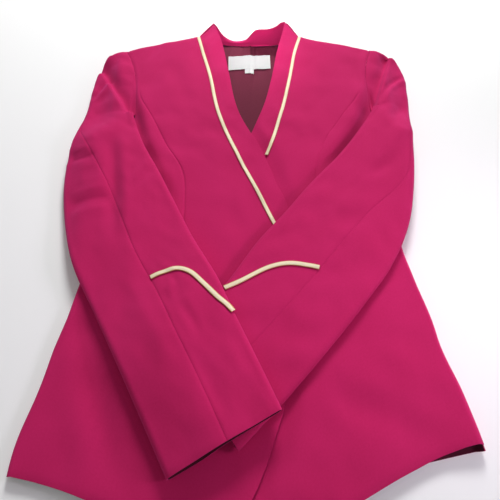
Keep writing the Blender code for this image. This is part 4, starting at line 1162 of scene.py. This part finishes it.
def seam_steps(count, length):
    """Shares of a length, closest together at its far end."""
    near = np.array([3.0, 1.6, 0.8, 0.0]) * MM / max(length, 1e-6)
    near = np.minimum(near, [0.3, 0.2, 0.1, 0.0])
    return join(np.linspace(0.0, 1.0 - near[0], count - 2)[:-1], 1.0 - near)


def lower_end(at, share_in, share_out, plan, width):
    """Where the underside stops: at the armhole, or at the seam near the inner fold."""
    if at <= FOLD_RING:
        return 0.0
    if at > UNDERARM_RING:
        return share_in + INSEAM_IN + 2.5 * SEAM / width
    shares = np.linspace(0.0, share_out, END_STEPS)
    clear = np.nonzero(outside(BODY_OUTLINE, *plan(shares)) <= 1.0 * MM)[0]
    return shares[min(clear[-1] + 1, END_STEPS - 1)] if len(clear) else 0.0


def shift_seam(grid, index, step):
    """Moves the seam end of each row back along the row by the seam gap."""
    moved = grid.copy()
    order = np.arange(index, -1 if step < 0 else grid.shape[1], step)
    for row, old in zip(moved, grid):
        gaps = np.linalg.norm(old[order] - old[index], axis=1)
        away = order[gaps > 1e-6]
        if len(away):
            row[order[gaps <= 1e-6]] = old[index] + unit(old[away[0]] - old[index]) * SEAM
    return moved


def sleeve(side):
    cap = np.arange(0.0, UNDERARM_RING, CAP_RING_STEP)
    steps = join(cap, np.arange(UNDERARM_RING, LAST_RING + 0.01, RING_STEP))
    rings = [sleeve_ring(side, at) for at in steps]
    split = rings[0][1]
    grid = np.stack([points for points, _ in rings])
    gap = np.linalg.norm(grid - grid[:, split : split + 1], axis=-1)
    dip = SEAM_GROOVE * bell(gap / GROOVE_WIDTH)
    grid[..., 2] -= np.nan_to_num(dip) * (np.arange(grid.shape[1]) < split + OUTER_COLUMNS)[None]
    normals = with_normals(grid, (len(steps) - 1, split - 4))
    top = shift_seam(grid[:, : split + 1], split, -1)
    under = shift_seam(grid[:, split:], 0, 1)
    top = wall(side + "_top_sleeve", top, normals[:, : split + 1], CLOTH, SUITING)
    under = wall(side + "_under_sleeve", under, normals[:, split:], CLOTH, SUITING)
    for piece, node in ((top, "top_sleeve_"), (under, "under_sleeve_")):
        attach(piece, "root")
        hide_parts(node + side)
    return top, under


sleeves = {side: sleeve(side) for side in BOTH}


# Trims: narrow cream satin piping over the seams of the neck bands and across each top sleeve
# above the cuff, sewn down along both edges.

NECK_TRIM_WIDTH = 5.0 * MM
CUFF_TRIM_WIDTH = 6.0 * MM
TRIM_CORD = 1.0 * MM
TRIM_LIFT = 0.25 * MM
TRIM_CROWN = 0.5 * MM
TRIM_ACROSS = np.linspace(-1.0, 1.0, 11)
NECK_TRIM_STEPS = 110
CUFF_TRIM_STEPS = 90
TRIM_PROBES = (-1.5 * MM, -0.8 * MM, 0.0, 0.8 * MM, 1.5 * MM)
NECK_TRIM_START = {"right": 0.12, "left": 0.425}
NECK_TRIM_END = 0.999
CuffTrim = namedtuple("CuffTrim", "ring across")
# Line of the cuff trim over each top sleeve, from the back seam to the inner fold.
CUFF_TRIMS = {
    "right": table(
        CuffTrim, (8.72, 0.477), (8.7, 0.39), (8.72, 0.26), (8.9, 0.18), (9.26, 0.125),
        (9.6, 0.075), (9.82, 0.032), (9.99, 0.008),
    ),
    "left": table(
        CuffTrim, (8.85, 0.55), (8.93, 0.47), (9.08, 0.35), (9.28, 0.26), (9.52, 0.19),
        (9.88, 0.115), (10.17, 0.052), (10.3, 0.022),
    ),
}
PIPING = woven(
    "cream_satin",
    deep=(0.72, 0.60, 0.37), pale=(0.90, 0.82, 0.60),
    ribs=2200.0, slant=0.9, uneven=0.25, relief=0.08 * MM,
    look={"Roughness": 0.5, "Specular IOR Level": 0.3},
)
# The edges of the strip are darker and golden, by the distance from its middle on the weave map:
# painted shade where the crowned piping rolls down at its edges.
PIPING_EDGE_SHADE = (0.50, 0.22, 0.06)
EDGE_FROM, EDGE_TO = 1.6 * MM, 3.2 * MM

tree = PIPING.node_tree
uv = new_node(tree, "ShaderNodeUVMap", uv_map="weave")
across = new_node(tree, "ShaderNodeSeparateXYZ", {"Vector": uv})
off_middle = new_node(tree, "ShaderNodeMath", {0: across}, operation="ABSOLUTE")
limits = {"Value": off_middle, "From Min": EDGE_FROM, "From Max": EDGE_TO}
edge_shade_mask = new_node(tree, "ShaderNodeMapRange", limits, interpolation_type="SMOOTHSTEP")
tint_over(PIPING, edge_shade_mask, PIPING_EDGE_SHADE)


def trim_strip(name, node, line, width, pieces):
    """Crowned strip along plan points, laid on the pieces under it."""
    points, faces = [], []
    for piece in pieces:
        faces += [[len(points) + k for k in face.vertices] for face in piece.data.polygons]
        points += [vertex.co for vertex in piece.data.vertices]
    tree = BVHTree.FromPolygons(points, faces)
    way = np.gradient(line, axis=0)
    way /= np.linalg.norm(way, axis=1, keepdims=True)
    sideways = np.stack([-way[:, 1], way[:, 0]], -1)
    plan = line[:, None] + (sideways * width / 2)[:, None] * TRIM_ACROSS[None, :, None]
    z = np.full(plan.shape[:2], np.nan)
    for r, c in np.ndindex(*z.shape):
        for step in TRIM_PROBES:
            x, y = plan[r, c] + sideways[r] * step - MIDDLE[:2]
            hit = tree.ray_cast(Vector((x, y, 1.0)), Vector((0, 0, -1)))[0]
            if hit:
                z[r, c] = np.nanmax([z[r, c], hit.z])
    for _ in range(2):
        wide = np.pad(z, ((1, 1), (0, 0)), "edge")
        z = np.maximum(z, (wide[:-2] + z + wide[2:]) / 3)
    grid = join(plan, z[..., None], axis=-1)
    crown_here = TRIM_CROWN * (1.0 - TRIM_ACROSS**2)
    grid = grid + with_normals(grid) * (TRIM_CORD + TRIM_LIFT + crown_here)[None, :, None]
    piece = wall(name, grid, with_normals(grid), TRIM_CORD, PIPING, 0.3)
    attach(piece, "root")
    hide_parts(node)
    return piece, [grid[2:-2, edge] for edge in (1, -2)]


trim_edges = []
for side in BOTH:
    share = np.linspace(NECK_TRIM_START[side], NECK_TRIM_END, NECK_TRIM_STEPS)
    line = curve_point(BAND_SEAMS[side], share)
    name, node = side + "_neck_piping", "neck_trim_" + side
    under = [fronts[side], bands[side]]
    neck_trim, edges = trim_strip(name, node, line, NECK_TRIM_WIDTH, under)
    trim_edges += edges
    rows = CUFF_TRIMS[side]
    at = np.linspace(0.0, len(rows) - 1.0, CUFF_TRIM_STEPS)
    ring, over = read(rows, ("ring", "across"), at).T
    inner, outer = ring_ends(side, ring)
    line = inner + (outer - inner) * over[:, None]
    name, node = side + "_cuff_piping", "cuff_trim_" + side
    cuff_trim, edges = trim_strip(name, node, line, CUFF_TRIM_WIDTH, sleeves[side])
    trim_edges += edges
    under = ["back_lining_satin", "left_front" if side == "right" else "back_panel"]
    under = ["right_front", "left_front"]


# Stitching: cream thread along both edges of each trim, and white thread round the label. Each
# stitch is a short round length of thread that dips into the cloth at both ends.

SOCKETS = {"Pitch": "Float", "Stitch Length": "Float", "Thread": "Float", "Seed": "Int"}
TRIM_STITCH = {"Pitch": 2.6 * MM, "Stitch Length": 2.0 * MM, "Thread": 0.32 * MM, "Seed": 3}
LABEL_STITCH = {"Pitch": 2.0 * MM, "Stitch Length": 1.6 * MM, "Thread": 0.26 * MM, "Seed": 5}
STITCH_LIFT = 0.06 * MM
STITCH_LEAN = 0.12
THREAD_LOOK = {"Roughness": 0.6, "Specular IOR Level": 0.3}
CREAM_LOOK = {"Base Color": (0.62, 0.45, 0.22, 1.0), **THREAD_LOOK}
WHITE_LOOK = {"Base Color": (0.70, 0.70, 0.69, 1.0), **THREAD_LOOK}


def stitch_tree(material):
    """Stitches along the edges of a mesh: thread instanced at an even pitch."""
    sockets = {"Lines": "Geometry", **SOCKETS}
    outputs = {"Stitches": "Geometry"}
    tree, given, out = new_tree("stitches", "GeometryNodeTree", sockets, outputs)
    curve = new_node(tree, "GeometryNodeMeshToCurve", {"Mesh": given["Lines"]})
    spacing = {"Curve": curve, "Length": given["Pitch"]}
    spaced = new_node(tree, "GeometryNodeResampleCurve", spacing, mode="LENGTH")
    bead_size = {"Segments": 8, "Rings": 6, "Radius": 0.5}
    bead = new_node(tree, "GeometryNodeMeshUVSphere", bead_size)
    sides = {"X": given["Thread"], "Y": given["Thread"], "Z": given["Stitch Length"]}
    size = new_node(tree, "ShaderNodeCombineXYZ", sides)
    most = {"Min": (-STITCH_LEAN,) * 3, "Max": (STITCH_LEAN,) * 3, "Seed": given["Seed"]}
    wobble = new_node(tree, "FunctionNodeRandomValue", most, data_type="FLOAT_VECTOR")
    tangent = new_node(tree, "GeometryNodeInputTangent")
    way = new_node(tree, "ShaderNodeVectorMath", {0: tangent, 1: wobble.outputs["Value"]})
    turned = new_node(tree, "FunctionNodeAlignRotationToVector", {"Vector": way}, axis="Z")
    placing = {"Points": spaced, "Instance": bead, "Rotation": turned, "Scale": size}
    placed = new_node(tree, "GeometryNodeInstanceOnPoints", placing)
    real = new_node(tree, "GeometryNodeRealizeInstances", {"Geometry": placed})
    dye = {"Geometry": real, "Material": material}
    give(out, {"Stitches": new_node(tree, "GeometryNodeSetMaterial", dye)})
    return tree


def stitch_lines(name, lines, settings, material):
    """Plain mesh of the stitches along some lines of points."""
    points, edges = [], []
    for line in lines:
        first = len(points)
        points += (line - MIDDLE + [0.0, 0.0, STITCH_LIFT]).tolist()
        edges += [(i, i + 1) for i in range(first, len(points) - 1)]
    path = bpy.data.meshes.new(name + "_path")
    path.from_pydata(points, edges, [])
    run = put(name + "_path", path)
    maker = run.modifiers.new("stitches", "NODES")
    maker.node_group = stitch_tree(material)
    for item in maker.node_group.interface.items_tree:
        if item.in_out == "INPUT" and item.name in settings:
            maker[item.identifier] = settings[item.name]
    scene_now = bpy.context.evaluated_depsgraph_get()
    mesh = bpy.data.meshes.new_from_object(run.evaluated_get(scene_now))
    mesh.name = name
    mesh.shade_smooth()
    run.modifiers.remove(maker)
    bpy.data.objects.remove(run)
    stitches = put(name, mesh)
    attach(stitches, "root")


cream_thread = plain_material("cream_thread", CREAM_LOOK)
white_thread = plain_material("white_thread", WHITE_LOOK)
stitch_lines("trim_stitches", trim_edges, TRIM_STITCH, cream_thread)
rim = label_face[1:-1, 1:-1]
border = join(rim[0], rim[1:, -1], rim[-1, -2::-1], rim[-2::-1, 0])
stitch_lines("label_stitches", [border], LABEL_STITCH, white_thread)


# Floor and light: a plain near white sweep, a large soft light over the collar side and a weak
# fill from above, so that folds shade towards the hem. Two small lights warm the left sleeve's
# side and the lining in the neck.

FLOOR_REACH = 6.0
WORLD_STRENGTH = 0.29


def area_light(name, at, aim, size, power, spread_angle=180.0, colour=(1.0, 1.0, 1.0)):
    data = bpy.data.lights.new(name, "AREA")
    data.shape = "DISK"
    data.size = size
    data.energy = power
    data.color = colour
    data.spread = math.radians(spread_angle)
    lamp = put(name, data)
    lamp.location = at
    lamp.rotation_euler = (Vector(aim) - Vector(at)).to_track_quat("-Z", "Y").to_euler()


area_light("key", (0.15, 1.35, 0.95), (0.0, 0.05, 0.0), 0.55, 26.5)
area_light("fill", (-0.2, -0.7, 1.6), (0.0, 0.0, 0.0), 1.2, 1.6)
area_light("side", (1.0, -0.2, 0.5), (0.22, -0.14, 0.0), 0.3, 0.45, 45.0, (0.95, 0.80, 1.0))
area_light("neck", (0.02, -0.12, 0.42), (0.01, 0.355, 0.02), 0.12, 0.075, 20.0)
world = bpy.data.worlds.new("studio")
world.use_nodes = True
sky = {"Color": (1.0, 1.0, 1.0, 1.0), "Strength": WORLD_STRENGTH}
give(world.node_tree.nodes["Background"], sky)
bpy.context.scene.world = world

floor_mesh = bpy.data.meshes.new("floor")
corners = [(x, y, 0.0) for x, y in ((-1, -1), (1, -1), (1, 1), (-1, 1))]
floor_mesh.from_pydata((np.array(corners) * FLOOR_REACH).tolist(), [], [(0, 1, 2, 3)])
paper = {"Base Color": (0.9, 0.9, 0.9, 1.0), "Roughness": 0.9}
floor_mesh.materials.append(plain_material("white_paper", paper))
put("floor", floor_mesh)
